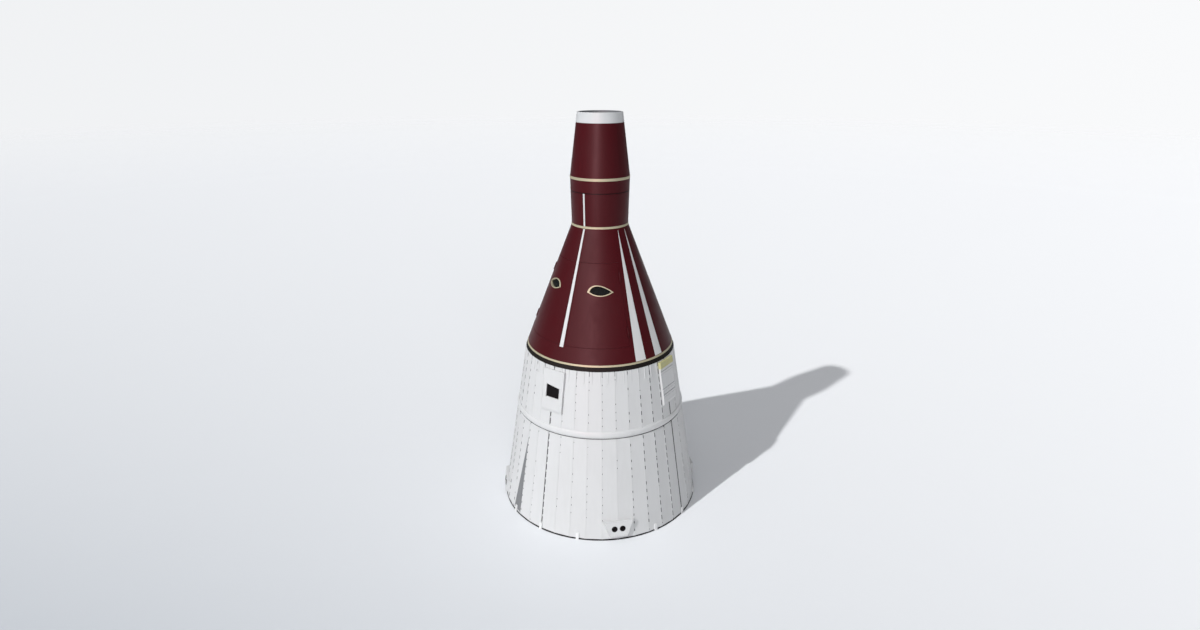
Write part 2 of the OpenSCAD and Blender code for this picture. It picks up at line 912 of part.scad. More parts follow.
// The crew lies on its back: the seat's back on the floor, its pan upright
seat_head_y = -720;
seat_hip_y = seat_head_y + seat_back_l;
module seat_frames() {
    color(grey)
        for (side = [-1, 1])
            translate([side * seat_x - seat_w / 2, 0, floor_top])
                rotate([90, 0, 90])
                    linear_extrude(height = seat_w)
                        polygon([
                            [seat_head_y, 0],
                            [seat_hip_y + seat_frame_t, 0],
                            [seat_hip_y + seat_frame_t, seat_frame_t + seat_pan_h],
                            [seat_hip_y, seat_frame_t + seat_pan_h],
                            [seat_hip_y, seat_frame_t],
                            [seat_head_y, seat_frame_t]
                        ]);
}

// Three separate pads on each seat: headrest, back and pan
module seat_pads() {
    head_l = 210;
    part = 20;
    pad_w = seat_w - 30;
    z0 = floor_top + seat_frame_t + seat_gap;
    back_y = seat_head_y + head_l + part;
    color([0.30, 0.33, 0.30])
        for (side = [-1, 1])
            translate([side * seat_x - pad_w / 2, 0, z0]) {
                translate([pad_w / 6, seat_head_y + part, 0])
                    cube([pad_w * 2 / 3, head_l - part, seat_pad_t * 1.4]);
                translate([0, back_y, 0])
                    cube([pad_w, seat_hip_y - seat_pad_t - part - back_y, seat_pad_t]);
                translate([0, seat_hip_y - seat_gap - seat_pad_t, part])
                    cube([pad_w, seat_pad_t, seat_pan_h - 2 * part]);
            }
}

instrument_z = cabin_z + panel_rise;
module instrument_panel() {
    y0 = -170;
    y1 = 330;
    color(grey)
        intersection() {
            translate([-far / 2, y0, instrument_z]) cube([far, y1 - y0, instrument_t]);
            cylinder_inside(instrument_z - through, instrument_z + instrument_t + through);
        }
}

// The cabin's inside between two heights
module cylinder_inside(z0, z1) {
    translate([0, 0, z0])
        cylinder(h = z1 - z0, r1 = cabin_inner_r(z0) - seat_gap, r2 = cabin_inner_r(z1) - seat_gap);
}

// Console from the floor to the instrument panel
module centre_console() {
    y0 = -60;
    y1 = 150;
    color(grey)
        translate([-console_w / 2, y0, floor_top])
            cube([console_w, y1 - y0, instrument_z - floor_top]);
}

base_ring();
base_lugs();
aft_bulkhead();
equipment_skin();
split_band();
retro_skin();
seam_strips();
grey_wedge_panel();
thruster_fairings();
thruster_nozzles();
port_panels();
port_liners();
umbilical_fairings();
umbilical_caps();
heat_shield();
base_trim();
cabin_sill();
cabin_spine();
cabin_side_left();
cabin_side_right();
cabin_back();
cabin_crown();
neck_trim();
control_section();
recovery_collar();
nose_trim();
nose_section();
nose_cap();
radar_face();
white_stripes();
hatch_left();
hatch_right();
window_frame_left();
window_frame_right();
window_glass_left();
window_glass_right();
hinge_fixed();
hinge_leaf_left();
hinge_leaf_right();
cabin_floor();
instrument_panel();
centre_console();
seat_frames();
seat_pads();
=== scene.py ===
"""A two-seat space capsule on its launch adapter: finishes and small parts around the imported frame."""
import math

import bmesh
import bpy
import numpy as np
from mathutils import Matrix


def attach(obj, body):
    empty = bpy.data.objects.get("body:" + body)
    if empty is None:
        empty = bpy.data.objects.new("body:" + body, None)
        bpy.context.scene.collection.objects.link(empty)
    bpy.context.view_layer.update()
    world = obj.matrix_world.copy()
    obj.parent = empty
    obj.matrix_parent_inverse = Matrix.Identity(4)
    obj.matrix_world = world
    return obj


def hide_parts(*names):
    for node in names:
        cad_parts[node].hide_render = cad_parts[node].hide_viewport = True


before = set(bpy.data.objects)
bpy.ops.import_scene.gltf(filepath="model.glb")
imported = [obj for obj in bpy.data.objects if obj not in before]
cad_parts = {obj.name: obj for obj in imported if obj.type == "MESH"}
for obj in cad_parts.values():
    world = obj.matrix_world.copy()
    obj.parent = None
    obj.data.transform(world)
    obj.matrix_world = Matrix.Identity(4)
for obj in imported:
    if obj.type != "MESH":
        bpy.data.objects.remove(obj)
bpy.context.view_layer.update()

# ---------- Camera ----------
# It stands in front of the right-hand hatch, a little above the nose cap, and looks down on the whole vehicle.
camera = bpy.data.objects.new("camera", bpy.data.cameras.new("camera"))
view_bearing = math.radians(32.2)
camera_height = 6.347
camera_distance = 9.552
camera_dip = math.radians(19.86)
camera.location = (
    camera_distance * math.sin(view_bearing),
    -camera_distance * math.cos(view_bearing),
    camera_height,
)
camera.rotation_euler = (math.pi / 2 - camera_dip, 0, view_bearing)
camera.data.sensor_width = 36
camera.data.lens = 20.265
camera.data.clip_end = 500
bpy.context.scene.collection.objects.link(camera)
bpy.context.scene.camera = camera
bpy.context.scene.view_settings.view_transform = "Standard"


# ---------- Studio floor, sky and lamp ----------
# A pale floor, its colour painted lighter ahead and to the right as painted light, that fades into an even pale
# sky, under a hard-edged key lamp from the left and a weak broad fill from behind the camera.
class Sock:
    """One output of a finish's nodes. Arithmetic on it adds Math nodes, and node() adds any other node."""

    def __init__(self, owner, out):
        self.owner, self.out = owner, out

    def node(self, kind, settings, sockets, pick=0):
        """Adds one node: its settings first, then the values or links of its sockets. Returns an output."""
        made = self.owner.node_tree.nodes.new(kind)
        stops = settings.pop("stops", None)
        for name, value in settings.items():
            setattr(made, name, value)
        if stops:
            ramp = made.color_ramp.elements
            while len(ramp) < len(stops):
                ramp.new(1.0)
            for stop, (spot, shade) in zip(ramp, stops):
                stop.position, stop.color = spot, shade
        for key, value in sockets.items():
            if isinstance(value, Sock):
                self.owner.node_tree.links.new(value.out, made.inputs[key])
            else:
                made.inputs[key].default_value = value
        return Sock(self.owner, made.outputs[pick])

    def maths(self, operation, *values):
        """One Math node, with the given values or links as its inputs."""
        return self.node("ShaderNodeMath", {"operation": operation}, dict(enumerate(values)))

    def __add__(self, other):
        return self.maths("ADD", self, other)

    def __sub__(self, other):
        return self.maths("SUBTRACT", self, other)

    def __rsub__(self, other):
        return self.maths("SUBTRACT", other, self)

    def __mul__(self, other):
        return self.maths("MULTIPLY", self, other)

    def __truediv__(self, other):
        return self.maths("DIVIDE", self, other)

    def __rtruediv__(self, other):
        return self.maths("DIVIDE", other, self)

    def __lt__(self, other):
        return self.maths("LESS_THAN", self, other)

    def __gt__(self, other):
        return self.maths("GREATER_THAN", self, other)

    __radd__, __rmul__ = __add__, __mul__

    def limited(self):
        """Held between 0 and 1."""
        return self.node("ShaderNodeClamp", {}, {"Value": self})

    def mix(self, first, second):
        """Blends two colours; this value is the share of the second."""
        return self.node("ShaderNodeMix", {"data_type": "RGBA"}, {0: self, 6: first, 7: second}, 2)

    def along(self, x, y, z):
        """Distance of the coordinates along one direction."""
        return self.node("ShaderNodeVectorMath", {"operation": "DOT_PRODUCT"}, {0: self, 1: (x, y, z)}, 1)

    def size(self):
        """Without its sign."""
        return self.maths("ABSOLUTE", self)

    def parts(self):
        """The x, y and z of the coordinates."""
        first = self.node("ShaderNodeSeparateXYZ", {}, {0: self})
        return [Sock(self.owner, out) for out in first.out.node.outputs]

    def noise(self, scale, detail=3.0, stretch=(1, 1, 1)):
        """Smooth noise about 0.5, with the coordinates stretched along their axes first."""
        spread = self.node("ShaderNodeVectorMath", {"operation": "MULTIPLY"}, {0: self, 1: stretch})
        return self.node("ShaderNodeTexNoise", {}, {"Vector": spread, "Scale": scale, "Detail": detail})

    def cells(self, scale):
        """Distance to the nearest edge of a pattern of cells."""
        return self.node("ShaderNodeTexVoronoi", {"feature": "DISTANCE_TO_EDGE"}, {"Vector": self, "Scale": scale})

    def bump(self, strength, distance):
        """A surface normal tilted by this value taken as height."""
        return self.node("ShaderNodeBump", {}, {"Strength": strength, "Distance": distance, "Height": self})

    def feed(self, socket):
        """Links this value to a socket of its finish's shader."""
        surface = self.owner.node_tree.nodes["Principled BSDF"]
        self.owner.node_tree.links.new(self.out, surface.inputs[socket])


floor_half = 120.0
floor_corners = [(x * floor_half, y * floor_half, 0) for x, y in ((-1, -1), (1, -1), (1, 1), (-1, 1))]
floor_mesh = bpy.data.meshes.new("studio_floor")
floor_mesh.from_pydata(floor_corners, [], [(0, 1, 2, 3)])
floor = bpy.data.objects.new("studio_floor", floor_mesh)
bpy.context.scene.collection.objects.link(floor)

pale_dark = (0.590, 0.618, 0.652, 1)
pale_light = (0.950, 0.957, 0.968, 1)
right_way = (math.cos(view_bearing), math.sin(view_bearing), 0)
ahead_way = (-math.sin(view_bearing), math.cos(view_bearing), 0)
sky_lightness = 0.893
lighter_to_right = 0.15
gradient_from, gradient_fade = 6.0, 16.0
floor_side = 0.95
fade_from, fade_over = 40.0, 60.0


def floor_finish():
    """Matt floor with painted light: lighter ahead and to the right, even behind the camera, that thins out so no
    horizon shows.
    """
    material = bpy.data.materials.new("studio_floor")
    material.use_nodes = True
    tree = material.node_tree
    surface = tree.nodes["Principled BSDF"]
    place = Sock(material, tree.nodes.new("ShaderNodeTexCoord").outputs["Object"])
    ahead = place.along(*ahead_way) + camera_distance
    evenness = ((gradient_from - ahead) / gradient_fade).limited()
    ahead = ahead.maths("MAXIMUM", ahead, gradient_from)
    dip = camera_height / ahead
    side = place.along(*right_way) / (ahead * math.cos(camera_dip) + camera_height * math.sin(camera_dip))
    side = ((side + floor_side) / (2 * floor_side)).limited() * (2 * floor_side) - floor_side
    # painted light: the floor's own colour falls off towards the camera and to the left
    slope = side * lighter_to_right - dip * (0.56 - side * 0.255)
    painted_lightness = (sky_lightness + slope * (1.0 - evenness)).limited()
    shade = painted_lightness.mix(pale_dark, pale_light)
    surface.inputs["Roughness"].default_value = 0.9
    surface.inputs["Specular IOR Level"].default_value = 0.0
    tree.links.new(shade.out, surface.inputs["Base Color"])
    away = place.node("ShaderNodeVectorMath", {"operation": "LENGTH"}, {0: place}, 1)
    shown = (1.0 - (away - fade_from) / fade_over).limited()
    tree.links.new(shown.out, surface.inputs["Alpha"])
    return material


floor_mesh.materials.append(floor_finish())

world = bpy.data.worlds.new("studio_sky")
world.use_nodes = True
bpy.context.scene.world = world
backdrop = world.node_tree.nodes["Background"]
heading = Sock(world, world.node_tree.nodes.new("ShaderNodeTexCoord").outputs["Generated"])
to_right = heading.along(*right_way)
backdrop_shade = (sky_lightness + to_right * lighter_to_right).limited().mix(pale_dark, pale_light)
sky_stops = [(0.0, (0.05, 0.052, 0.055, 1)), (0.40, (0.08, 0.082, 0.086, 1))]
sky_stops += [(0.70, (0.35, 0.355, 0.37, 1)), (1.0, (0.70, 0.71, 0.735, 1))]
lighting_shade = heading.node("ShaderNodeValToRGB", {"stops": sky_stops}, {"Fac": heading.along(0, 0, 1)})
seen = heading.node("ShaderNodeLightPath", {}, {}, 0)
sky_shade = seen.mix(lighting_shade, backdrop_shade)
world.node_tree.links.new(sky_shade.out, backdrop.inputs["Color"])

lamp_rise = math.radians(40.6)


def sun_lamp(name, bearing, rise, energy, spread):
    """A lamp at infinity: bearing is from the camera's own, to the right, and spread is its width in the sky."""
    lamp = bpy.data.objects.new(name, bpy.data.lights.new(name, "SUN"))
    lamp.data.energy = energy
    lamp.data.angle = spread
    lamp.rotation_euler = (math.pi / 2 - rise, 0, view_bearing + bearing)
    bpy.context.scene.collection.objects.link(lamp)
    return lamp


sun_lamp("key_lamp", math.radians(-50.7), lamp_rise, 2.65, math.radians(1.2))
fill_lamp = sun_lamp("fill_lamp", math.radians(3), math.radians(18), 0.95, math.radians(40))
fill_lamp.visible_glossy = False

# a tall soft box left of the camera that only shows as a sheen on gloss paint
sheen_bearing = view_bearing - math.radians(16)
sheen_distance = 14.0
sheen_box = bpy.data.objects.new("sheen_box", bpy.data.lights.new("sheen_box", "AREA"))
sheen_box.data.shape = "RECTANGLE"
sheen_box.data.size = 2.6
sheen_box.data.size_y = 9.0
sheen_box.data.energy = 2300
sheen_box.data.color = (1.0, 0.56, 0.60)
sheen_box.visible_diffuse = False
sheen_box.visible_camera = False
sheen_box.location = (sheen_distance * math.sin(sheen_bearing), -sheen_distance * math.cos(sheen_bearing), 7.0)
sheen_box.rotation_euler = (math.pi / 2 - math.radians(12), 0, sheen_bearing)
bpy.context.scene.collection.objects.link(sheen_box)


# ---------- Launch ring and attachment lugs ----------
# A forged aluminium ring with a flange that bolts to the launch vehicle. Blackened, with lugs of painted steel
# that stand on its rim and clamp the skin above it.
def new_finish(name, **fixed):
    """Starts a finish and returns its Object coordinates. The fixed values go onto the shader's sockets."""
    material = bpy.data.materials.new(name)
    material.use_nodes = True
    nodes = material.node_tree.nodes
    for socket, value in fixed.items():
        nodes["Principled BSDF"].inputs[socket.replace("_", " ")].default_value = value
    return Sock(material, nodes.new("ShaderNodeTexCoord").outputs["Object"])


def painted(name, colour, dull, roughness, wear=0.5, peel=0.04, marks=None, **fixed):
    """Sprayed paint. Its colour drifts to a duller one in soft clouds and thin upright streaks, its gloss drifts
    with them, and the film has a fine peel. marks gives (mask, colour) pairs that are painted over it."""
    place = new_finish(name, **fixed)
    clouds = place.noise(1.7)
    streaks = place.noise(1.0, 2.0, (22, 22, 0.9))
    dulled = ((clouds - 0.42) * 1.6 + (streaks - 0.5) * 1.1).limited() * wear
    shade = dulled.mix(colour, dull)
    for mask, tint in marks(place) if marks else []:
        shade = mask.mix(shade, tint)
    shade.feed("Base Color")
    (dulled * 0.2 + clouds * 0.12 + (roughness - 0.06)).feed("Roughness")
    place.noise(320.0, 2.0).bump(peel, 0.002).feed("Normal")
    return place.owner


def dress(finish, *nodes):
    """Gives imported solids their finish."""
    for node in nodes:
        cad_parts[node].material_slots[0].material = finish


black, black_dull = (0.006, 0.006, 0.007, 1), (0.020, 0.018, 0.016, 1)
blackened = painted("blackened_metal", black, black_dull, 0.55, Specular_IOR_Level=0.25, Metallic=0.2)
white_coat = (0.587, 0.592, 0.598, 1)
white_dull = (0.52, 0.523, 0.525, 1)
white_fitting = painted("white_fitting_paint", white_coat, white_dull, 0.5, Specular_IOR_Level=0.3)
dress(blackened, "base_ring", "seam_strips")
# painted light: the lugs wear a lighter copy of the white paint, so that they show as lit against the ring
lit_lug_paint = painted("lug_paint", (0.70, 0.705, 0.71, 1), white_dull, 0.45, wear=0.3, Specular_IOR_Level=0.35)
dress(lit_lug_paint, "base_lugs")


# ---------- Adapter skin ----------
# Forty flat magnesium-alloy facets over stringers, sprayed with white thermal paint. Thin straps cover the corners
# where two facets join, apart from the four seams, and stub ribs stiffen the upper edge under the heat shield.
base_radius = 1.525
joint_radius = 1.116
adapter_height = 2.465
adapter_slope = (base_radius - joint_radius) / adapter_height
adapter_lean = math.atan(adapter_slope)
adapter_turn = math.radians(-2.7)
facet_count = 40
quarter_facets = facet_count // 4
facet = 2 * math.pi / facet_count
split_low, split_high = 1.500, 1.609
ticks_per_metre = 8.6


def round_the_axis(place):
    """Azimuth from -Y towards +X, distance from the vehicle's axis, and height."""
    x, y, height = place.parts()
    return x.maths("ARCTAN2", x, 0.0 - y), (x * x + y * y).maths("SQRT", x * x + y * y), height


def joint_and_shade_marks(place):
    """Dark open stretches of the joints beside the straps, in regular ticks with some missing. They are longest and
    widest where the skin faces away from the spine, and there they are painted shade as well as open joint. Every
    tenth corner is the seam between two quarters, and the painted shadow on one side of it is nearly solid."""
    azimuth, reach, height = round_the_axis(place)
    turns = (azimuth - adapter_turn) / facet
    corner = turns.maths("ROUND", turns)
    aside = (turns - corner) * facet * reach
    along_joint = place.node("ShaderNodeCombineXYZ", {}, {0: corner * 7.31, 2: height * 4.2})
    ragged = along_joint.noise(1.0, 4.0)
    ticks = height * ticks_per_metre + corner * 0.37
    tick = ticks.maths("FRACT", ticks)
    # painted shade: the ticks beside the straps grow longer and wider the further the skin turns from the front
    side_shade = (((azimuth - 0.25).size() - 0.50) * 1.8).limited()
    joint_ticks_and_shade = (tick < side_shade * 0.50 + 0.16) * (ragged > 0.50 - side_shade * 0.09)
    near = (aside - 0.0085).size() < side_shade * 0.0075 + 0.0036
    edge_joint = ((height - 2.432).size() < 0.033) * ((aside - 0.006).size() < 0.0056)
    quarter = corner / quarter_facets
    seam = (quarter - quarter.maths("ROUND", quarter)).size() < 0.01
    seam_shadow = seam * ((aside - 0.0075).size() < side_shade * 0.004 + 0.0075) * (tick < azimuth * 0.4 + 0.72)
    return [
        ((aside.size() < 0.013) * 0.05, (0.36, 0.37, 0.38, 1)),
        (edge_joint * 0.9, (0.06, 0.06, 0.07, 1)),
        (near * joint_ticks_and_shade, (0.026, 0.028, 0.034, 1)),
        (seam_shadow, (0.012, 0.012, 0.014, 1)),
    ]


white_skin = painted("white_thermal_paint", white_coat, white_dull, 0.5, marks=joint_and_shade_marks, Specular_IOR_Level=0.3)
dress(white_skin, "equipment_skin", "retro_skin")


def adapter_radius(height):
    """Distance of the skin's corners from the axis."""
    return base_radius - adapter_slope * height


def placed(local, azimuth, radius, height, lean=0.0):
    """Carries a shape drawn as (across, out, up) to the vehicle: leant back, moved out and up, then turned to the
    azimuth. Reach is radius + out cos(lean) - up sin(lean), and height grows by out sin(lean) + up cos(lean)."""
    across, out, up = np.moveaxis(np.asarray(local, float), -1, 0)
    reach = radius + out * np.cos(lean) - up * np.sin(lean)
    sine, cosine = np.sin(azimuth), np.cos(azimuth)
    rise = height + out * np.sin(lean) + up * np.cos(lean)
    x, y = reach * sine + across * cosine, across * sine - reach * cosine
    return np.stack([x, y, rise + 0 * x], -1)


def bar(section, ups):
    """A straight bar: its outline, as (across, out) pairs, repeated at each height in ups."""
    section, ups = np.asarray(section, float), np.asarray(ups, float)
    rings = np.zeros((len(ups), len(section), 3))
    rings[..., :2] = section
    rings[..., 2] = ups[:, None]
    return rings


def make_piece(name, slot, finish, *shapes, body="capsule", closed=False):
    """Joins lofted shapes into one piece that rides on a body. A shape is an array (copies, rings, points round,
    3): each ring joins the next, and a flat face closes either end, unless closed joins the last to the first."""
    points, faces, used = [], [], 0
    for shape in shapes:
        rings = np.asarray(shape, float)
        rings = rings.reshape(-1, *rings.shape[-3:])
        copies, length, around = rings.shape[:3]
        first = used + np.arange(copies)[:, None, None] * length * around
        row = np.arange(length if closed else length - 1)[:, None]
        column = np.arange(around)
        after, above = (column + 1) % around, (row + 1) % length * around
        here = first + row * around
        quads = [here + column, here + after, first + above + after, first + above + column]
        faces += np.stack(quads, -1).reshape(-1, 4).tolist()
        if not closed:
            ends = first[:, 0] + column
            faces += ends[:, ::-1].tolist() + (ends + (length - 1) * around).tolist()
        points.append(rings.reshape(-1, 3))
        used += copies * length * around
    mesh = bpy.data.meshes.new(name)
    mesh.from_pydata(np.concatenate(points).tolist(), [], faces)
    shell = bmesh.new()
    shell.from_mesh(mesh)
    bmesh.ops.remove_doubles(shell, verts=shell.verts, dist=1e-6)
    bmesh.ops.recalc_face_normals(shell, faces=shell.faces)
    shell.to_mesh(mesh)
    shell.free()
    mesh.polygons.foreach_set("use_smooth", [True] * len(mesh.polygons))
    mesh.set_sharp_from_angle(angle=math.radians(34))
    mesh.materials.append(finish)
    piece = bpy.data.objects.new(name, mesh)
    bpy.context.scene.collection.objects.link(piece)
    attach(piece, body)
    return piece


strap_section = [(-0.0046, -0.0030), (-0.0034, 0.0022), (0.0034, 0.0022), (0.0046, -0.0030)]


def corner_straps(corners, low, high):
    """Straps along the skin's corners, from one height to another."""
    length = (high - low) / math.cos(adapter_lean)
    azimuth = adapter_turn + facet * np.array(corners)[:, None, None]
    return placed(bar(strap_section, [0, length]), azimuth, adapter_radius(low), low, adapter_lean)


free_corners = [i for i in range(facet_count) if i % quarter_facets]
over_fairings = [i for i in free_corners if 4 <= i % quarter_facets <= 6]
clear_corners = [i for i in free_corners if i not in over_fairings]
make_piece(
    "corner_straps",
    "white_paint",
    white_fitting,
    corner_straps(clear_corners, 0.030, split_low - 0.003),
    corner_straps(over_fairings, 0.325, split_low - 0.003),
    corner_straps(free_corners, split_high + 0.003, adapter_height - 0.003),
)

rib_count = 64
rib_low = 2.294
rib_azimuth = (np.arange(rib_count) * 2 * math.pi / rib_count + adapter_turn + 0.02)[:, None, None]
within_facet = (rib_azimuth - adapter_turn) % facet - facet / 2
rib_radius = adapter_radius(rib_low) * math.cos(facet / 2) / np.cos(within_facet)
rib_section = [(-0.006, -0.003), (-0.0045, 0.005), (0.0045, 0.005), (0.006, -0.003)]
rib_length = (adapter_height - 0.004 - rib_low) / math.cos(adapter_lean)
stub_ribs = placed(bar(rib_section, [0, rib_length]), rib_azimuth, rib_radius, rib_low, adapter_lean)
make_piece("stub_ribs", "white_paint", white_fitting, stub_ribs)


# ---------- Band between the two adapter sections ----------
# A rolled, rounded aluminium band riveted over the joint where the adapter parts, above an open groove
# whose foot is painted dark as shade.
def groove_shade_mark(place):
    """The foot of the groove is an open joint, painted dark as the shade down in it."""
    return [(place.along(0, 0, 1) < 1.5075, (0.05, 0.052, 0.056, 1))]


dress(painted("band_paint", white_coat, white_dull, 0.42, marks=groove_shade_mark, Specular_IOR_Level=0.4), "split_band")


def dome(radius, proud, around=8):
    """A low round head that stands on an (across, up) plane: rings of shrinking radius, each further out."""
    angle = np.arange(around) * 2 * math.pi / around
    share = np.array([1.0, 0.82, 0.40])[:, None]
    out = np.array([-0.3, 0.7, 1.0])[:, None] * proud
    return np.stack([share * radius * np.cos(angle), out + 0 * angle, share * radius * np.sin(angle)], -1)


def heads(spots, out, radius, proud):
    """Fastener heads at (across, up) places on a face that stands out by a given amount."""
    spots = np.asarray(spots, float)
    shift = np.stack([spots[:, 0], 0 * spots[:, 0] + out, spots[:, 1]], -1)
    return dome(radius, proud) + shift[:, None, None]


def row_round(count, radius, height, lean, size, proud):
    """A ring of heads round the vehicle."""
    azimuth = np.arange(count)[:, None, None] * 2 * math.pi / count
    return placed(dome(size, proud), azimuth, radius, height, lean)


bare, bare_dull = (0.42, 0.43, 0.44, 1), (0.27, 0.27, 0.27, 1)
bare_metal = painted("bare_fasteners", bare, bare_dull, 0.38, Metallic=0.7, Specular_IOR_Level=0.4)
band_middle, band_proud = 1.5655, 0.0118
band_rivets = [
    row_round(120, adapter_radius(height) + band_proud, height, adapter_lean, 0.0045, 0.0022)
    for height in (band_middle - 0.022, band_middle + 0.022)
]
make_piece("band_rivets", "white_paint", white_fitting, *band_rivets)


# ---------- Grey wedge ----------
# A long thin wedge plate along one facet of the lower skin. Alloy sheet, painted grey and held by rivets along one
# edge.
wedge_grey, wedge_dull = (0.175, 0.180, 0.188, 1), (0.125, 0.128, 0.132, 1)
wedge_finish = painted("grey_wedge_paint", wedge_grey, wedge_dull, 0.5, wear=0.8, Specular_IOR_Level=0.3)
dress(wedge_finish, "grey_wedge_panel")
wedge_azimuth = adapter_turn - math.radians(22.5)
wedge_foot = 0.045
facet_lean = math.atan(adapter_slope * math.cos(facet / 2))
wedge_up = np.linspace(0.13, 1.08, 20)
wedge_edge = adapter_radius(wedge_foot + wedge_up) * math.sin(facet / 2) - 0.012
wedge_heads = heads(np.stack([wedge_edge, wedge_up], -1), 0.0033, 0.0045, 0.002)
wedge_reach = adapter_radius(wedge_foot) * math.cos(facet / 2)
wedge_rivets = placed(wedge_heads, wedge_azimuth, wedge_reach, wedge_foot, facet_lean)
make_piece("wedge_rivets", "grey_paint", wedge_finish, wedge_rivets)


# ---------- Attitude thruster fairings ----------
# Four pressed fairings near the base, each over two ablative thrusters. Pressed alloy, painted white and held by
# rows of screws. Each nozzle ends in a black ring.
dress(painted("fairing_paint", white_coat, white_dull, 0.46, Specular_IOR_Level=0.35), "thruster_fairings")
# painted shade: the nozzle and port liners are near-black, their char made darker as the shade inside the holes
char_and_shade, char_and_shade_dull = (0.0035, 0.0035, 0.004, 1), (0.012, 0.010, 0.009, 1)
charred_and_shaded = painted("charred_and_shaded_liner", char_and_shade, char_and_shade_dull, 0.7, Specular_IOR_Level=0.1)
dress(charred_and_shaded, "thruster_nozzles", "port_liners")
fairing_foot = 0.062
fairing_proud = 0.032
fairing_azimuth = (adapter_turn + math.pi / 2 * (np.arange(4) + 0.5))[:, None, None, None]
nozzle_aside, nozzle_rise, nozzle_radius = 0.059, 0.120, 0.040


def outline_spots(low_width, high_width, foot, top, inset, pitch):
    """Places along a four-sided outline, one every pitch or so, as (across, up) pairs."""
    low, high = low_width / 2 - inset, high_width / 2 - inset
    foot, top = foot + inset, top - inset
    corners = np.array([(-low, foot), (low, foot), (high, top), (-high, top)])
    sides = []
    for start, end in zip(corners, np.roll(corners, -1, 0)):
        count = round(float(np.linalg.norm(end - start)) / pitch)
        sides.append(start + (end - start) * np.arange(count)[:, None] / count)
    return np.concatenate(sides)


def hoop(radius, thickness, around=32, sides=8):
    """A ring of round wire: the wire's centre runs round a circle on the (across, up) plane."""
    turn = (np.arange(around) * 2 * math.pi / around)[:, None]
    side = np.arange(sides) * 2 * math.pi / sides
    reach = radius + thickness * np.cos(side)
    out = thickness * np.sin(side) + 0 * turn
    return np.stack([reach * np.cos(turn), out, reach * np.sin(turn)], -1)


def on_fairings(local):
    """Copies a shape to the four fairings."""
    return placed(local[None], fairing_azimuth, adapter_radius(fairing_foot), fairing_foot, adapter_lean)


fairing_screws = heads(outline_spots(0.262, 0.440, 0, 0.240, 0.014, 0.034), fairing_proud, 0.0038, 0.0016)
make_piece("fairing_screws", "steel", bare_metal, on_fairings(fairing_screws))
nozzle_rims = [hoop(nozzle_radius, 0.0032) + (side * nozzle_aside, fairing_proud, nozzle_rise) for side in (-1, 1)]
make_piece("nozzle_rims", "dark_metal", blackened, on_fairings(np.stack(nozzle_rims)), closed=True)


# ---------- Port panels ----------
# Two raised doors, front and back, each with a dark scarfed port. Painted sheet with a rolled bead round the port
# and screws round the edge.
panel_finish = painted("panel_paint", white_coat, white_dull, 0.46, Specular_IOR_Level=0.35)
dress(panel_finish, "port_panels", "umbilical_fairings")
panel_foot = 1.806
panel_proud = 0.018
panel_width = 0.348
panel_turn = math.radians(1)
port_azimuth = (adapter_turn + panel_turn + math.pi * np.arange(2))[:, None, None, None]
port_corners = np.array([(-0.111, 0.216), (0.111, 0.216), (0.111, 0.368), (-0.111, 0.402)])


def frame_round(corners, out, width, proud):
    """A flat-topped bead round a four-sided opening: each corner is drawn outwards twice, low and high."""
    middle = corners.mean(0)
    away = np.sign(corners - middle)
    reach = np.array([0.001, 0.001, width, width])[:, None]
    height = np.array([-0.002, proud, proud, -0.002]) + out
    spread = corners[:, None] + away[:, None] * reach
    return np.stack([spread[..., 0], height + 0 * spread[..., 0], spread[..., 1]], -1)


def on_panels(local, azimuth):
    """Copies a shape to a pair of opposite panels."""
    return placed(local[None], azimuth, adapter_radius(panel_foot), panel_foot, adapter_lean)


port_bead = frame_round(port_corners, panel_proud, 0.009, 0.003)[None]
make_piece("port_beads", "white_paint", white_fitting, on_panels(port_bead, port_azimuth), closed=True)
port_spots = outline_spots(panel_width, panel_width, 0.050, 0.620, 0.012, 0.052)
port_screws = heads(port_spots, panel_proud, 0.004, 0.0018)
make_piece("port_panel_screws", "white_paint", white_fitting, on_panels(port_screws, port_azimuth))


# ---------- Umbilical fairings ----------
# Raised covers over the ground umbilical, left and right, stiffened by three bands. The cap on top is left in
# yellow-green zinc primer, with a hinge rod along its foot.
umbilical_azimuth = adapter_turn + math.pi / 2 + panel_turn * np.array([1, -1]) + math.pi * np.arange(2)
umbilical_azimuth = umbilical_azimuth[:, None, None, None]
umbilical_top = 0.558
umbilical_spots = outline_spots(panel_width, panel_width, 0.046, umbilical_top, 0.011, 0.06)
umbilical_screws = heads(umbilical_spots, panel_proud, 0.004, 0.0018)
make_piece("umbilical_screws", "steel", bare_metal, on_panels(umbilical_screws, umbilical_azimuth))
seam_grey = painted("sealant_grey", (0.15, 0.165, 0.20, 1), (0.11, 0.12, 0.14, 1), 0.6, Specular_IOR_Level=0.2)


def cross_bar(up, out, height, proud, half_width=0.1735):
    """A bar straight across a panel: its outline, as (out, up) pairs, at either end."""
    outline = np.array([(-0.002, -0.5), (1, -0.5), (1, 0.5), (-0.002, 0.5)]) * (proud, height) + (out, up)
    ends = np.array([-half_width, half_width])[:, None]
    return np.stack([ends + 0 * outline[:, 0], outline[:, 0] + 0 * ends, outline[:, 1] + 0 * ends], -1)


band_rises = (0.1394, 0.2287, 0.4908)
band_edges = [rise + edge * 0.0188 for rise in band_rises for edge in (-1, 1)]
band_seams = np.stack([cross_bar(up, panel_proud - 0.001, 0.0052, 0.0032) for up in band_edges])
make_piece("umbilical_band_seams", "grey_paint", seam_grey, on_panels(band_seams, umbilical_azimuth))


def primer_marks(place):
    """Brushed patches of thicker, yellower primer, and scuffs where hands have worn it."""
    brushed = place.noise(9.0, 4.0, (1, 1, 5))
    scuffs = place.noise(30.0, 5.0)
    thick = ((brushed - 0.45) * 3.0).limited() * 0.7
    return [(thick, (0.42, 0.37, 0.13, 1)), ((scuffs > 0.66) * 0.5, (0.50, 0.49, 0.38, 1))]


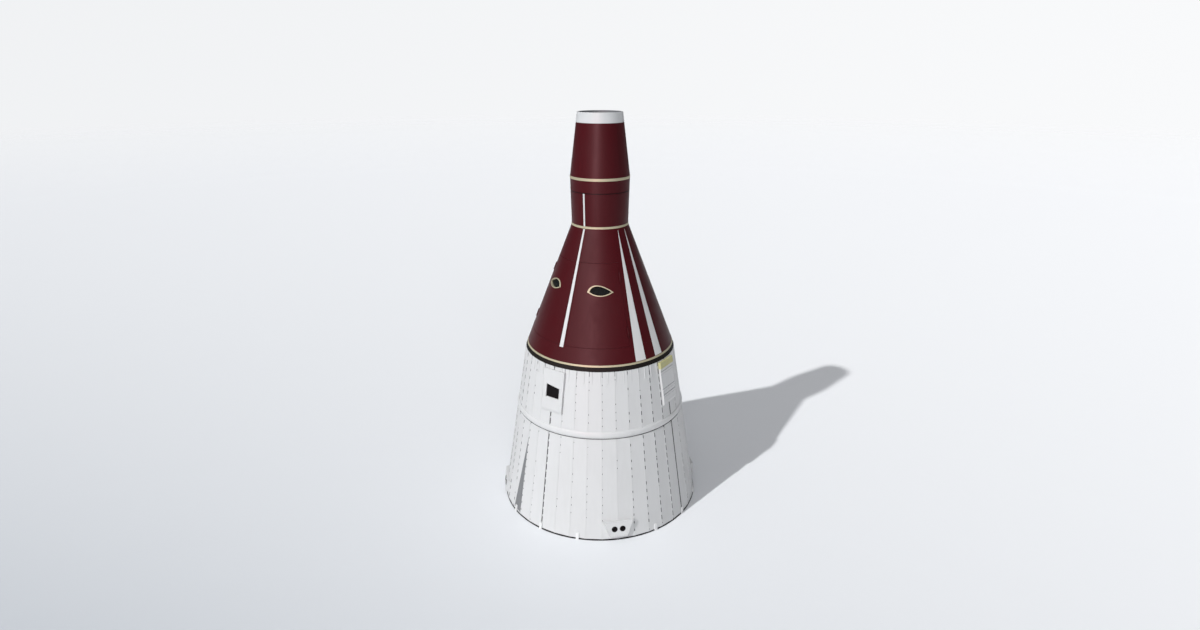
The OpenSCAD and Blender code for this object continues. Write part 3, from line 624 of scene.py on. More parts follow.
primer = painted("zinc_primer", (0.47, 0.46, 0.24, 1), (0.38, 0.35, 0.17, 1), 0.6, marks=primer_marks)
dress(primer, "umbilical_caps")
cap_proud = 0.032
cap_foot, cap_top = 0.561, 0.648
cap_spots = outline_spots(panel_width, panel_width, cap_foot, cap_top, 0.012, 0.05)
cap_screws = heads(cap_spots, cap_proud, 0.0045, 0.002)
hinge_turn = np.arange(8) * math.pi / 4
rod_radius = 0.004
rod_across = np.array([[-0.168], [0.168]])
rod_out, rod_up = rod_radius * np.cos(hinge_turn), rod_radius * np.sin(hinge_turn)
rod = np.stack(np.broadcast_arrays(rod_across, rod_out, rod_up), -1)
cap_rod = (rod + (0, panel_proud + 0.003, cap_foot - 0.004))[None]
cap_fittings = [on_panels(fitting, umbilical_azimuth) for fitting in (cap_screws, cap_rod)]
make_piece("umbilical_cap_fittings", "yellow_primer", primer, *cap_fittings)


# ---------- Aft end ----------
# The bulkhead wears a blanket of crinkled gold-coated film. Two thrusters pass through it, and webs of alloy sheet
# join the skin to the ring.
def gold_film(name):
    """Thin metallised film: painted shade darkens it along each crease and leaves it bright between them,
    and a creased surface.
    """
    place = new_finish(name, Metallic=0.9)
    creases_and_shade = place.cells(16.0)
    folds = place.noise(9.0, 4.0)
    (creases_and_shade * 3.0).limited().mix((0.36, 0.23, 0.07, 1), (0.62, 0.45, 0.18, 1)).feed("Base Color")
    (folds * 0.25 + 0.2).feed("Roughness")
    (creases_and_shade + folds * 0.5).bump(0.7, 0.012).feed("Normal")
    return place.owner


gold_blanket = gold_film("gold_blanket_film")
dress(gold_blanket, "aft_bulkhead")
blanket_edge, blanket_foot, blanket_top = 1.448, 0.141, 0.1495
blanket_turn = np.arange(160) * 2 * math.pi / 160
blanket_reach = np.concatenate([np.linspace(0.01, blanket_edge, 60), np.linspace(blanket_edge, 0.01, 8)])[:, None]
lower_side = (np.arange(68) < 60)[:, None]
billow = 0.004 * np.sin(5 * blanket_turn + 9 * blanket_reach)
billow += 0.003 * np.sin(23 * blanket_reach + 7 * blanket_turn)
blanket_x, blanket_y = blanket_reach * np.cos(blanket_turn), blanket_reach * np.sin(blanket_turn)
billow += 0.002 * np.sin(41 * blanket_x) * np.sin(37 * blanket_y)
flattened = (blanket_edge - blanket_reach).clip(0, 0.1) * 10
blanket_height = np.where(lower_side, blanket_foot + billow * flattened, blanket_top)
make_piece("aft_blanket", "gold_foil", gold_blanket, np.stack([blanket_x, blanket_y, blanket_height], -1))
web_profile = np.array([(1.490, 0.021), (1.400, 0.021), (1.386, 0.030), (1.455, 0.140), (1.470, 0.148)])
web_azimuth = (adapter_turn + facet * (np.arange(facet_count) + 0.5))[:, None, None]
web_thick = np.array([-0.0015, 0.0015])[:, None]
web_across, web_reach = np.broadcast_arrays(web_thick, web_profile[:, 0])
webs = np.stack([web_across, web_reach, np.broadcast_to(web_profile[:, 1], web_reach.shape)], -1)
make_piece("skirt_webs", "white_paint", white_fitting, placed(webs, web_azimuth, 0, 0))
aft_azimuth = (adapter_turn + math.pi / 2 + math.pi * np.arange(2))[:, None, None]
aft_rim = hoop(0.065, 0.005)[:, :, [0, 2, 1]] + (0, 1.180, 0.041)
make_piece("aft_nozzle_rims", "dark_metal", blackened, placed(aft_rim, aft_azimuth, 0, 0), closed=True)


# ---------- Heat shield ----------
# A dish of silicone ablative poured into glass honeycomb. Only its matt, nearly black rim shows.
shield_place = new_finish("ablative_rim", Specular_IOR_Level=0.15)
cells = shield_place.cells(90.0)
soot = shield_place.noise(14.0, 5.0)
(soot * (cells * 4.0).limited()).mix((0.0045, 0.0040, 0.0038, 1), (0.017, 0.0125, 0.0095, 1)).feed("Base Color")
(soot * 0.2 + 0.6).feed("Roughness")
(cells * 0.6 + soot).bump(0.35, 0.003).feed("Normal")
dress(shield_place.owner, "heat_shield")


# ---------- Gold trim rings and window frames ----------
# Spun rings of pale gold-anodised alloy at the cabin's foot, the neck and the foot of the nose, and the pressed
# frames of the two windows.
def anodised(name, colour, shade, roughness):
    """Satin anodised alloy: fine turning lines that run round the axis, and a slow drift of the tint."""
    place = new_finish(name, Metallic=0.2, Specular_IOR_Level=0.25)
    lines = place.noise(1.0, 3.0, (6, 6, 900))
    drift = place.noise(3.0)
    (lines * 0.5 + drift * 0.5).mix(shade, colour).feed("Base Color")
    (lines * 0.15 + roughness).feed("Roughness")
    lines.bump(0.05, 0.001).feed("Normal")
    return place.owner


pale_gold = anodised("pale_gold_anodising", (0.47, 0.44, 0.31, 1), (0.38, 0.34, 0.23, 1), 0.46)
dress(pale_gold, "base_trim", "neck_trim", "nose_trim", "window_frame_left", "window_frame_right")


# ---------- Cabin wall ----------
# The re-entry module's cone: beaded alloy shingles outside, painted a deep satin burgundy, over insulation and a
# titanium pressure shell whose inner face is primed grey-green.
cabin_low, cabin_high = 2.525, 4.307
neck_radius = 0.403
cabin_slope = (joint_radius - neck_radius) / (cabin_high - adapter_height)
cabin_lean = math.atan(cabin_slope)
wall_thickness = 0.060
burgundy = (0.0545, 0.0036, 0.0062, 1)
burgundy_dull = (0.0475, 0.0034, 0.0056, 1)
cabin_primer = (0.20, 0.25, 0.20, 1)


def cabin_marks(place):
    """Primer on the faces that lie well under the skin, and faint joints between the shingles outside."""
    azimuth, reach, height = round_the_axis(place)
    skin = joint_radius - (height - adapter_height) * cabin_slope
    inside = reach < skin - 0.030
    shingles = height * 9.0
    seam = ((shingles - shingles.maths("ROUND", shingles)).size() < 0.012) * 0.22
    return [(seam, (0.036, 0.003, 0.005, 1)), (inside, cabin_primer)]


def burgundy_paint(name, marks):
    """Satin burgundy with a soft, low sheen."""
    return painted(name, burgundy, burgundy_dull, 0.44, wear=0.8, peel=0.03, marks=marks, Specular_IOR_Level=0.13)


cabin_finish = burgundy_paint("burgundy_cabin_paint", cabin_marks)
dress(cabin_finish, "cabin_sill", "cabin_spine", "cabin_side_left", "cabin_side_right", "cabin_back", "cabin_crown")
dress(cabin_finish, "hatch_left", "hatch_right")


def wall_spot(azimuth, height, depth):
    """Points of the cabin's wall. At a bearing in degrees and a height on its skin, then square inwards by the
    depth: reach is the skin's radius less depth cos(lean), and height falls by depth sin(lean)."""
    azimuth, height, depth = np.broadcast_arrays(np.radians(azimuth), height, depth)
    reach = joint_radius - cabin_slope * (height - adapter_height) - depth * math.cos(cabin_lean)
    return np.stack([reach * np.sin(azimuth), -reach * np.cos(azimuth), height - depth * math.sin(cabin_lean)], -1)


def wall_hoop(start, end, height, width, shallow, deep, steps=48):
    """A bar that runs round the wall at one height, between two depths."""
    azimuth = np.linspace(start, end, steps)[:, None]
    heights = height + np.array([-0.5, 0.5, 0.5, -0.5]) * width
    return wall_spot(azimuth, heights, np.array([shallow, shallow, deep, deep]))


def wall_post(azimuth, low, high, width, shallow, deep):
    """A bar that runs up the wall at one bearing, between two depths."""
    height = np.linspace(low, high, 2)[:, None]
    reach = joint_radius - cabin_slope * (height - adapter_height)
    across = np.degrees(np.array([-0.5, 0.5, 0.5, -0.5]) * width / reach)
    return wall_spot(azimuth + across, height, np.array([shallow, shallow, deep, deep]))


grey_green, grey_green_dull = (0.24, 0.28, 0.24, 1), (0.17, 0.20, 0.17, 1)
cabin_metal = painted("cabin_frame_paint", grey_green, grey_green_dull, 0.5, wear=0.9, Specular_IOR_Level=0.3)
frame_heights = (2.860, 3.080, 3.300, 3.620, 3.780)
frame_depths = (wall_thickness - 0.002, wall_thickness + 0.018)
ring_frames = np.stack([wall_hoop(62, 298, height, 0.022, *frame_depths, 90) for height in frame_heights])
frame_posts = np.stack([wall_post(azimuth, 2.80, 3.80, 0.020, *frame_depths) for azimuth in range(75, 300, 30)])
make_piece("cabin_ring_frames", "panel_grey", cabin_metal, ring_frames, frame_posts)
locker_rows = [(108, 128), (133, 153), (158, 178), (182, 202), (207, 227), (232, 252)]
lockers = [wall_hoop(start, end, 3.185, 0.19, 0.062, 0.150, 12) for start, end in locker_rows]
locker_doors = [wall_hoop(start + 1.2, end - 1.2, 3.185, 0.165, 0.1495, 0.154, 12) for start, end in locker_rows]
make_piece("stowage_lockers", "panel_grey", cabin_metal, np.stack(lockers), np.stack(locker_doors))


# ---------- White stripes ----------
# Bands of white paint, masked and sprayed over the burgundy: one up the spine and two tapering ones on each side.
stripe_white, stripe_dull = (0.60, 0.605, 0.612, 1), (0.52, 0.51, 0.51, 1)
dress(painted("stripe_paint", stripe_white, stripe_dull, 0.44, wear=0.7, Specular_IOR_Level=0.3), "white_stripes")


# ---------- Crew hatches ----------
# Each hatch is a piece of the cone's wall on two hinges, with a rubber seal in its gap, painted over. Inside it has
# ribs, a ring of latch dogs, and a gearbox whose lever throws them.
hatch_inner, hatch_outer = 3.3, 56.7
hatch_low, hatch_high = 2.767, 3.853
hatch_rib_heights = (2.83, 3.06, 3.30, 3.66, 3.79)
rib_shallow, rib_deep = 0.058, 0.072
hinge_heights = np.array([2.950, 3.670])
rubber_place = new_finish("seal_rubber", Roughness=0.75, Specular_IOR_Level=0.1)
rubber_grain = rubber_place.noise(160.0, 4.0)
rubber_grain.mix((0.044, 0.0034, 0.0056, 1), (0.056, 0.0042, 0.0070, 1)).feed("Base Color")
rubber_grain.bump(0.15, 0.001).feed("Normal")
latch_grey, latch_dull = (0.150, 0.155, 0.160, 1), (0.10, 0.10, 0.10, 1)
latch_metal = painted("latch_metal", latch_grey, latch_dull, 0.5, Metallic=0.6, Specular_IOR_Level=0.3)


def seal_round(side):
    """The seal: an outline on the hatch's edge and one out in the gap, each at two depths, joined round. It sinks
    under the hinges' knuckles."""
    steps = 60
    along = np.linspace(0, 1, steps, endpoint=False)
    share = np.concatenate([along, np.ones(steps), 1 - along, np.zeros(steps)])
    rise = np.concatenate([np.zeros(steps), along, np.ones(steps), 1 - along])

    def outline(aside, above):
        """Azimuths and heights round the hatch, so many degrees outside its edges and so far above and below."""
        azimuth = hatch_inner - aside + share * (hatch_outer - hatch_inner + 2 * aside)
        return azimuth, hatch_low - above + rise * (hatch_high - hatch_low + 2 * above)

    inner, outer = outline(-0.1, -0.002), outline(0.44, 0.0055)
    hinge_gap = np.abs(outer[1][:, None] - hinge_heights).min(1)
    sunk = np.where((share > 0.98) & (hinge_gap < 0.082), 0.0145, 0.0012)
    corners = [(inner, 0), (outer, 0), (outer, 0.012), (inner, 0.012)]
    return np.stack([wall_spot(side * azimuth, height, sunk + depth) for (azimuth, height), depth in corners], 1)


def latch_dogs(side):
    """Small latch blocks round the hatch's inner face."""
    sides = [(azimuth, height) for azimuth in (5.6, 54.4) for height in np.linspace(2.90, 3.72, 5)]
    ends = [(azimuth, height) for azimuth in (16, 30, 44) for height in (2.802, 3.818)]
    return np.stack([wall_post(side * a, h - 0.022, h + 0.022, 0.020, 0.056, 0.086) for a, h in sides + ends])


def tube(path, radius, sides=10):
    """A round tube along a path: at each point a circle in the plane square to the path's direction."""
    path = np.asarray(path, float)
    along = np.gradient(path, axis=0)
    along /= np.linalg.norm(along, axis=1)[:, None]
    spare = np.where(np.abs(along[:, 2:]) > 0.9, (1.0, 0.0, 0.0), (0.0, 0.0, 1.0))
    first = np.cross(along, spare)
    first /= np.linalg.norm(first, axis=1)[:, None]
    second = np.cross(along, first)
    angle = np.arange(sides) * 2 * math.pi / sides
    reach = np.broadcast_to(radius, len(path))[:, None, None]
    circle = first[:, None] * np.cos(angle)[:, None] + second[:, None] * np.sin(angle)[:, None]
    return path[:, None] + circle * reach


for side, hand in ((-1, "left"), (1, "right")):
    body = f"hatch_{hand}_body"
    seal = seal_round(side)
    make_piece(f"hatch_seal_{hand}", "burgundy_paint", rubber_place.owner, seal, body=body, closed=True)
    hoops = [wall_hoop(side * 7, side * 53, rise, 0.024, rib_shallow, rib_deep, 24) for rise in hatch_rib_heights]
    posts = [wall_post(side * azimuth, 2.82, 3.80, 0.024, rib_shallow, rib_deep) for azimuth in (9, 51)]
    posts += [wall_post(side * azimuth, 2.82, 3.31, 0.020, rib_shallow, rib_deep - 0.002) for azimuth in (23, 37)]
    make_piece(f"hatch_ribs_{hand}", "panel_grey", cabin_metal, np.stack(hoops), np.stack(posts), body=body)
    gearbox = wall_post(side * 16, 3.13, 3.25, 0.085, 0.060, 0.096)
    lever_turn = np.linspace(0, 1, 14)
    lever_depth = 0.100 + 0.022 * np.sin(2.6 * lever_turn)
    lever = wall_spot(side * (16 + 12 * lever_turn), 3.19 + 0.03 * lever_turn, lever_depth)
    knob = wall_spot(side * np.linspace(27.4, 31.0, 7), np.linspace(3.218, 3.226, 7), 0.112)
    grip = np.array([0.006, 0.011, 0.013, 0.0135, 0.013, 0.010, 0.004])
    latches = latch_dogs(side), gearbox, tube(lever, 0.006)
    make_piece(f"hatch_latches_{hand}", "steel", latch_metal, *latches, body=body)
    make_piece(f"hatch_lever_grip_{hand}", "dark_metal", blackened, tube(knob, grip, 14), body=body)


# ---------- Windows and hinges ----------
# Three panes of dark tinted glass in a pressed frame held by small screws. The hinges are steel, painted over with
# the hatch.
glass_place = new_finish("tinted_glass", Specular_IOR_Level=0.28, Alpha=0.86, IOR=1.5)
haze = glass_place.noise(6.0, 3.0)
haze.mix((0.0055, 0.0070, 0.0070, 1), (0.0130, 0.0150, 0.0150, 1)).feed("Base Color")
(haze * 0.12 + 0.10).feed("Roughness")
dress(glass_place.owner, "window_glass_left", "window_glass_right")
hinge_finish = burgundy_paint("burgundy_hinge_paint", None)
dress(hinge_finish, "hinge_fixed", "hinge_leaf_left", "hinge_leaf_right")

window_azimuth = math.radians(32.592)
window_height = cabin_low + 0.965
window_width, window_up, window_down, window_peak = 0.366, 0.092, 0.064, 0.36
screw_inset = 0.0065


def frame_screws(side):
    """Screws along the middle of the frame's face: two parabolas, the upper one bent so that it peaks off centre.
    Each is sunk by across squared over twice the wall's radius, the fall of a circle, times the lean's cosine."""
    share = np.linspace(0.06, 0.94, 9)
    bent = share ** (math.log(0.5) / math.log(window_peak))
    across = (window_width - 4.4 * screw_inset) * (share - 0.5)
    above = 4 * (window_up - screw_inset) * bent * (1 - bent)
    below = -4 * (window_down - screw_inset) * share * (1 - share)
    spots = np.stack([np.tile(across, 2), np.concatenate([above, below])], -1)
    reach = joint_radius - cabin_slope * (window_height - adapter_height)
    sagitta = spots[:, 0] ** 2 / (2 * reach)
    local = heads(spots, 0.0026, 0.0028, 0.0012)
    local[..., 1] -= sagitta[:, None, None] * math.cos(cabin_lean)
    local[..., 0] *= side
    return placed(local, side * window_azimuth, reach, window_height, cabin_lean)


for side, hand in ((-1, "left"), (1, "right")):
    make_piece(f"window_screws_{hand}", "gold_trim", pale_gold, frame_screws(side), body=f"hatch_{hand}_body")


# ---------- Neck, collar and nose ----------
# Beryllium-faced bays for the control thrusters, the parachutes and the radar, painted with the cabin. A joint runs
# up either side where the shells meet.
def bay_joint_and_shade_marks(place):
    """Two faint upright joints, one left of the spine and one on the right, and the groove under the collar:
    a joint, painted darker with the shade under the collar.
    """
    azimuth, reach, height = round_the_axis(place)
    left = ((azimuth + math.radians(31.6)) * reach).size() < 0.0022
    right = ((azimuth - math.radians(74.7)) * reach).size() < 0.0022
    # painted shade: the dark band under the collar is the joint and the shade below the collar's edge
    groove = (height - 4.780).size() < 0.0075
    return [((left + right) * 0.55, (0.020, 0.002, 0.004, 1)), (groove * 0.85, (0.016, 0.002, 0.003, 1))]


dress(burgundy_paint("burgundy_bay_paint", bay_joint_and_shade_marks), "control_section", "recovery_collar", "nose_section")
nose_low, nose_high = 4.985, 5.697
flush = burgundy_paint("burgundy_fastener_paint", None)
nose_lean = math.atan((0.419 - 0.331) / (nose_high - nose_low))
fastener_rows = [(0.4038, 4.345, 0), (0.4147, 4.760, 0), (0.4184, 5.005, nose_lean), (0.3342, 5.675, nose_lean)]
bay_fasteners = [row_round(36, radius, height, lean, 0.0032, 0.0012) for radius, height, lean in fastener_rows]
make_piece("bay_fasteners", "burgundy_paint", flush, *bay_fasteners)


# ---------- Nose cap and radar face ----------
# A white glass-fibre cap ring round the rendezvous radar. Its face is a grey disc with four flat spiral aerials of
# copper strip.
def cap_recess_shade(place):
    """The inside of the ring is painted grey, as the shade down in the recess round the radar face."""
    _, reach, _ = round_the_axis(place)
    return [(reach < 0.2925, (0.17, 0.175, 0.185, 1))]


cap_white = (0.575, 0.585, 0.595, 1)
cap_finish = painted("cap_paint", cap_white, white_dull, 0.48, wear=0.8, marks=cap_recess_shade, Specular_IOR_Level=0.3)
dress(cap_finish, "nose_cap")
make_piece("cap_screws", "white_paint", cap_finish, row_round(28, 0.3305, 5.716, 0.117, 0.0042, 0.0018))
face_place = new_finish("radar_face_paint", Specular_IOR_Level=0.25)
face_speckle = face_place.noise(220.0, 4.0)
face_drift = face_place.noise(5.0)
(face_speckle * 0.5 + face_drift * 0.5).mix((0.20, 0.21, 0.23, 1), (0.33, 0.345, 0.37, 1)).feed("Base Color")
(face_drift * 0.2 + 0.5).feed("Roughness")
face_speckle.bump(0.1, 0.001).feed("Normal")
dress(face_place.owner, "radar_face")
copper_place = new_finish("aerial_copper", Metallic=0.9)
tarnish = copper_place.noise(40.0, 4.0)
tarnish.mix((0.30, 0.13, 0.06, 1), (0.48, 0.24, 0.12, 1)).feed("Base Color")
(tarnish * 0.3 + 0.25).feed("Roughness")
nose_top, recess_depth, face_thickness = 5.833, 0.084, 0.024
cap_top_diameter, cap_wall, seat_gap = 0.630, 0.026, 0.0003
aerial_top = nose_top - recess_depth + face_thickness
aerial_reach = (cap_top_diameter / 2 - cap_wall - seat_gap) * 0.56
spiral = np.linspace(0, 1, 220)
spiral_reach = 0.006 + 0.062 * spiral
aerials = []
for quarter in range(4):
    middle = math.pi / 4 + quarter * math.pi / 2
    for start in (0.0, math.pi):
        turn = start + spiral * 7 * math.pi
        x = aerial_reach * math.cos(middle) + spiral_reach * np.cos(turn)
        y = aerial_reach * math.sin(middle) + spiral_reach * np.sin(turn)
        aerials.append(tube(np.stack([x, y, 0 * x + aerial_top], -1), 0.0014, 6))
make_piece("aerial_spirals", "gold_trim", copper_place.owner, np.stack(aerials))


# ---------- Cabin floor and seat frames ----------
# The crew lie on their backs. The floor is the pressure bulkhead over the heat shield, and each ejection seat has
# an alloy frame with a side wing on either edge.
floor_top = 2.555
dress(cabin_metal, "cabin_floor")
seat_grey, seat_dull = (0.155, 0.165, 0.170, 1), (0.10, 0.105, 0.11, 1)
seat_paint = painted("seat_frame_paint", seat_grey, seat_dull, 0.45, wear=0.9, Specular_IOR_Level=0.35)
dress(seat_paint, "seat_frames")
seat_aside, seat_width = 0.300, 0.440
seat_shell_top = floor_top + 0.060
wing_profile = [(-0.715, 0.0), (-0.715, 0.185), (-0.610, 0.200), (-0.500, 0.165)]
wing_profile = np.array(wing_profile + [(-0.430, 0.085), (0.020, 0.070), (0.180, 0.110), (0.180, 0.0)])
wings = []
for seat in (-1, 1):
    for edge in (-1, 1):
        x = seat * seat_aside + edge * (seat_width / 2 - np.array([0.0015, 0.0105]))[:, None]
        y = np.broadcast_to(wing_profile[:, 0], (2, len(wing_profile)))
        wings.append(np.stack([x + 0 * y, y, seat_shell_top + 0 * x + wing_profile[:, 1]], -1))
make_piece("seat_wings", "grey_paint", seat_paint, np.stack(wings))


# ---------- Seat cushions ----------
# Three cushions a seat: headrest, back and pan. Foam in olive-grey woven cloth, sewn with channels across and laid
# on the frame.
def weave_cloth(name, thread, shadow):
    """Plain weave: crossed sine waves give the threads, and noise gives faded and rubbed patches."""
    place = new_finish(name, Specular_IOR_Level=0.1, Roughness=0.9)
    x, y, z = place.parts()
    pitch = 2 * math.pi / 0.0032
    warp = (x * pitch).maths("SINE", x * pitch)
    weft = ((y + z) * pitch).maths("SINE", (y + z) * pitch)
    threads = warp * weft * 0.5 + 0.5
    faded = place.noise(7.0, 4.0)
    (threads * 0.5 + faded * 0.5).limited().mix(shadow, thread).feed("Base Color")
    (threads + place.noise(260.0) * 0.6).bump(0.4, 0.0012).feed("Normal")
    return place.owner


seat_cloth = weave_cloth("olive_seat_cloth", (0.150, 0.165, 0.125, 1), (0.070, 0.080, 0.060, 1))
pad_width = seat_width - 0.030
pad_thickness = 0.055
pad_low = seat_shell_top + 0.0003
pads = {
    "headrest": ((pad_width / 3, -0.700, pad_low), (-pad_width / 3, -0.510, pad_low + 0.077)),
    "back_cushion": ((pad_width / 2, -0.490, pad_low), (-pad_width / 2, 0.105, pad_low + pad_thickness)),
    "pan_cushion": ((pad_width / 2, 0.1247, pad_low + 0.020), (-pad_width / 2, 0.1797, pad_low + 0.380)),
}
pad_voxel = 0.006
pad_shrink = 0.007
rise_limit = 0.014
swell_frames = 20
channel_pitch = 0.085


def rounded_block(low, high):
    """A block whose edges are rounded: points of a fine sphere are pushed towards the block's faces by a power of
    each coordinate, so that cos and sin become their signed 0.22th powers."""
    turn = np.linspace(0, 2 * math.pi, 96, endpoint=False)
    tilt = np.linspace(-math.pi / 2 + 0.02, math.pi / 2 - 0.02, 48)[:, None]

    def squared(value):
        """A power well under 1, which flattens a circle towards a square, with the value's own sign."""
        return np.sign(value) * np.abs(value) ** 0.22

    x = squared(np.cos(tilt)) * squared(np.cos(turn))
    y = squared(np.cos(tilt)) * squared(np.sin(turn))
    z = squared(np.sin(tilt)) + 0 * turn
    middle, half = (low + high) / 2, (high - low) / 2
    return middle + half * np.stack([x, y, z], -1)


def applied(piece):
    """The piece's mesh as its modifiers leave it."""
    return bpy.data.meshes.new_from_object(piece.evaluated_get(bpy.context.evaluated_depsgraph_get()))


def corner_array(mesh):
    """All the mesh's points as one array."""
    flat = np.empty(len(mesh.vertices) * 3)
    mesh.vertices.foreach_get("co", flat)
    return flat.reshape(-1, 3)


cushions = {}
for name, (one, other) in pads.items():
    low, high = np.minimum(one, other) + pad_shrink, np.maximum(one, other) - pad_shrink
    low[0], high[0] = low[0] + seat_aside, high[0] + seat_aside
    cushion = make_piece(f"{name}_right", "seat_cloth", seat_cloth, rounded_block(low, high))
    remesh = cushion.modifiers.new("remesh", "REMESH")
    remesh.mode = "VOXEL"
    remesh.voxel_size = pad_voxel
    meshed = applied(cushion)
    cushion.modifiers.clear()
    cushion.data = meshed
    cushions[name] = cushion

resting = {name: corner_array(cushion.data) for name, cushion in cushions.items()}
for cushion in cushions.values():
    blown = cushion.modifiers.new("cloth", "CLOTH")
    blown.settings.use_pressure = True
    blown.settings.uniform_pressure_force = 4.0
    blown.settings.effector_weights.gravity = 0.0
    blown.settings.quality = 5
    blown.point_cache.frame_start, blown.point_cache.frame_end = 1, swell_frames
for step in range(1, swell_frames + 1):
    bpy.context.scene.frame_set(step)
for name, cushion in cushions.items():
    swollen = applied(cushion)
    moved = corner_array(swollen) - resting[name]
    reach = np.linalg.norm(moved, axis=1)[:, None]
    capped = resting[name] + moved * np.minimum(1.0, rise_limit / np.maximum(reach, 1e-9))
    cushion.modifiers.clear()
    swollen.vertices.foreach_set("co", capped.ravel())
    cushion.data = swollen
bpy.context.scene.frame_set(1)

channel_depth, channel_half = 0.007, 0.007
for name, cushion in cushions.items():
    one, other = np.minimum(*pads[name]), np.maximum(*pads[name])
    lengthwise, outwards = (2, 1) if name == "pan_cushion" else (1, 2)
    count = max(2, round((other[lengthwise] - one[lengthwise]) / channel_pitch))
    points = corner_array(cushion.data)
    pitch = (other[lengthwise] - one[lengthwise]) / count
    phase = (points[:, lengthwise] - one[lengthwise]) / pitch
    gap = (phase - np.round(phase)) * pitch
    inner = (np.round(phase) > 0) & (np.round(phase) < count)
    middle = (one[outwards] + other[outwards]) / 2
    side_of = np.sign(points[:, outwards] - middle)
    points[:, outwards] -= side_of * inner * channel_depth * np.exp(-((gap / channel_half) ** 2))
    cushion.data.vertices.foreach_set("co", points.ravel())
    cushion.data.update()
    finer = cushion.modifiers.new("finer", "SUBSURF")
    finer.levels = finer.render_levels = 1
    smooth = applied(cushion)
    cushion.modifiers.clear()
    smooth.polygons.foreach_set("use_smooth", [True] * len(smooth.polygons))
    cushion.data = smooth
    twin_mesh = smooth.copy()
    shifted = corner_array(twin_mesh) - (2 * seat_aside, 0, 0)
    twin_mesh.vertices.foreach_set("co", shifted.ravel())
    twin_mesh.update()
    twin = bpy.data.objects.new(f"{name}_left", twin_mesh)
    bpy.context.scene.collection.objects.link(twin)
    for piece in (cushion, twin):
        if piece is twin:
            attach(piece, "capsule")
        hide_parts("seat_pads")


# ---------- Harness ----------
# Shoulder and lap straps of tan webbing, sewn flat, that meet at a turned steel buckle on each seat.
webbing = weave_cloth("tan_webbing", (0.36, 0.30, 0.19, 1), (0.20, 0.16, 0.10, 1))
cushion_top = pad_low + pad_thickness + 0.004


def strap(path, across, width, thickness):
    """Flat webbing: a thin four-sided section carried along a path, its width along one direction."""
    path, across = np.asarray(path, float), np.asarray(across, float)
    along = np.gradient(path, axis=0)
    along /= np.linalg.norm(along, axis=1)[:, None]
    square = np.cross(along, across)
    square /= np.linalg.norm(square, axis=1)[:, None]
    corners = [(-0.5, -0.5), (0.5, -0.5), (0.5, 0.5), (-0.5, 0.5)]
    return np.stack([path + across * width * a + square * thickness * b for a, b in corners], 1)


def turned(profile, sides, spot):
    """A shape turned about an upright axis through a spot: (radius, height) pairs carried round."""
    profile, turn = np.asarray(profile, float), np.arange(sides) * 2 * math.pi / sides
    x, y = profile[:, :1] * np.cos(turn), profile[:, :1] * np.sin(turn)
    return np.stack(np.broadcast_arrays(x, y, profile[:, 1:]), -1) + np.asarray(spot, float)


buckle_profile = [(0.034, 0.0), (0.036, 0.006), (0.034, 0.012), (0.026, 0.015)]
buckle_profile += [(0.018, 0.0155), (0.016, 0.021), (0.004, 0.022)]
straps, buckles = [], []
run = np.linspace(0, 1, 40)
for seat in (-1, 1):
    for edge in (-1, 1):
        x = seat * seat_aside + edge * (0.085 - 0.060 * run)
        y = -0.500 + 0.500 * run
        z = cushion_top + 0.004 + 0.008 * np.sin(math.pi * run)
        straps.append(strap(np.stack([x, y, z], -1), (1.0, 0.0, 0.0), 0.045, 0.0026))
        x = seat * seat_aside + edge * (0.196 - 0.165 * run)
        z = cushion_top - 0.022 * (1 - run) ** 3 + 0.007 * np.sin(math.pi * run)
        straps.append(strap(np.stack([x, 0.020 + 0 * x, z], -1), (0.0, 1.0, 0.0), 0.045, 0.0026))
    buckles.append(turned(buckle_profile, 28, (seat * seat_aside, 0.012, cushion_top + 0.002)))
make_piece("harness_straps", "seat_cloth", webbing, np.stack(straps))
make_piece("harness_buckles", "steel", bare_metal, np.stack(buckles))


# ---------- Instrument panel ----------
# A painted alloy panel over the crew's faces. Round dials with black faces and white marks hang from it, with rows
# of toggle switches behind guard rails.
matt_grey, matt_dull = (0.13, 0.135, 0.14, 1), (0.095, 0.098, 0.10, 1)
panel_grey = painted("instrument_grey", matt_grey, matt_dull, 0.5, wear=0.8, Specular_IOR_Level=0.3)
dress(panel_grey, "instrument_panel", "centre_console")
dial_black = painted("dial_face_black", (0.004, 0.004, 0.005, 1), (0.010, 0.010, 0.011, 1), 0.3, wear=0.5)
dial_white = painted("dial_mark_white", (0.70, 0.70, 0.66, 1), (0.60, 0.60, 0.55, 1), 0.5, wear=0.5)
panel_face = 3.425
dials = [(0.22, -0.04, 0.062), (0.22, 0.11, 0.062), (0.36, -0.05, 0.034), (0.36, 0.05, 0.034), (0.36, 0.14, 0.034)]
dials += [(0.45, 0.0, 0.028), (0.45, 0.09, 0.028), (0.11, -0.10, 0.028), (0.11, -0.02, 0.028), (0.11, 0.06, 0.028)]
bezel_profile = [(1.10, 0.000), (1.10, -0.010), (1.02, -0.013), (0.94, -0.010), (0.93, -0.003), (0.93, 0.000)]
plate_profile = [(0.93, 0.0005), (0.93, -0.002)]
tick_outline = [(-0.025, 0.70), (0.025, 0.70), (0.025, 0.86), (-0.025, 0.86)]
needle_outline = [(-0.05, -0.15), (0.05, -0.15), (0.012, 0.66), (-0.012, 0.66)]


def dial_mark(middle, radius, angle, outline, near, far):
    """A flat mark on a dial: its (aside, out) outline in radii, turned to an angle, between two heights."""
    out = np.array([math.cos(angle), math.sin(angle), 0])
    aside = np.array([-math.sin(angle), math.cos(angle), 0])
    ring = np.array([middle + aside * a * radius + out * b * radius for a, b in outline])
    return np.stack([ring + (0, 0, near), ring + (0, 0, far)])


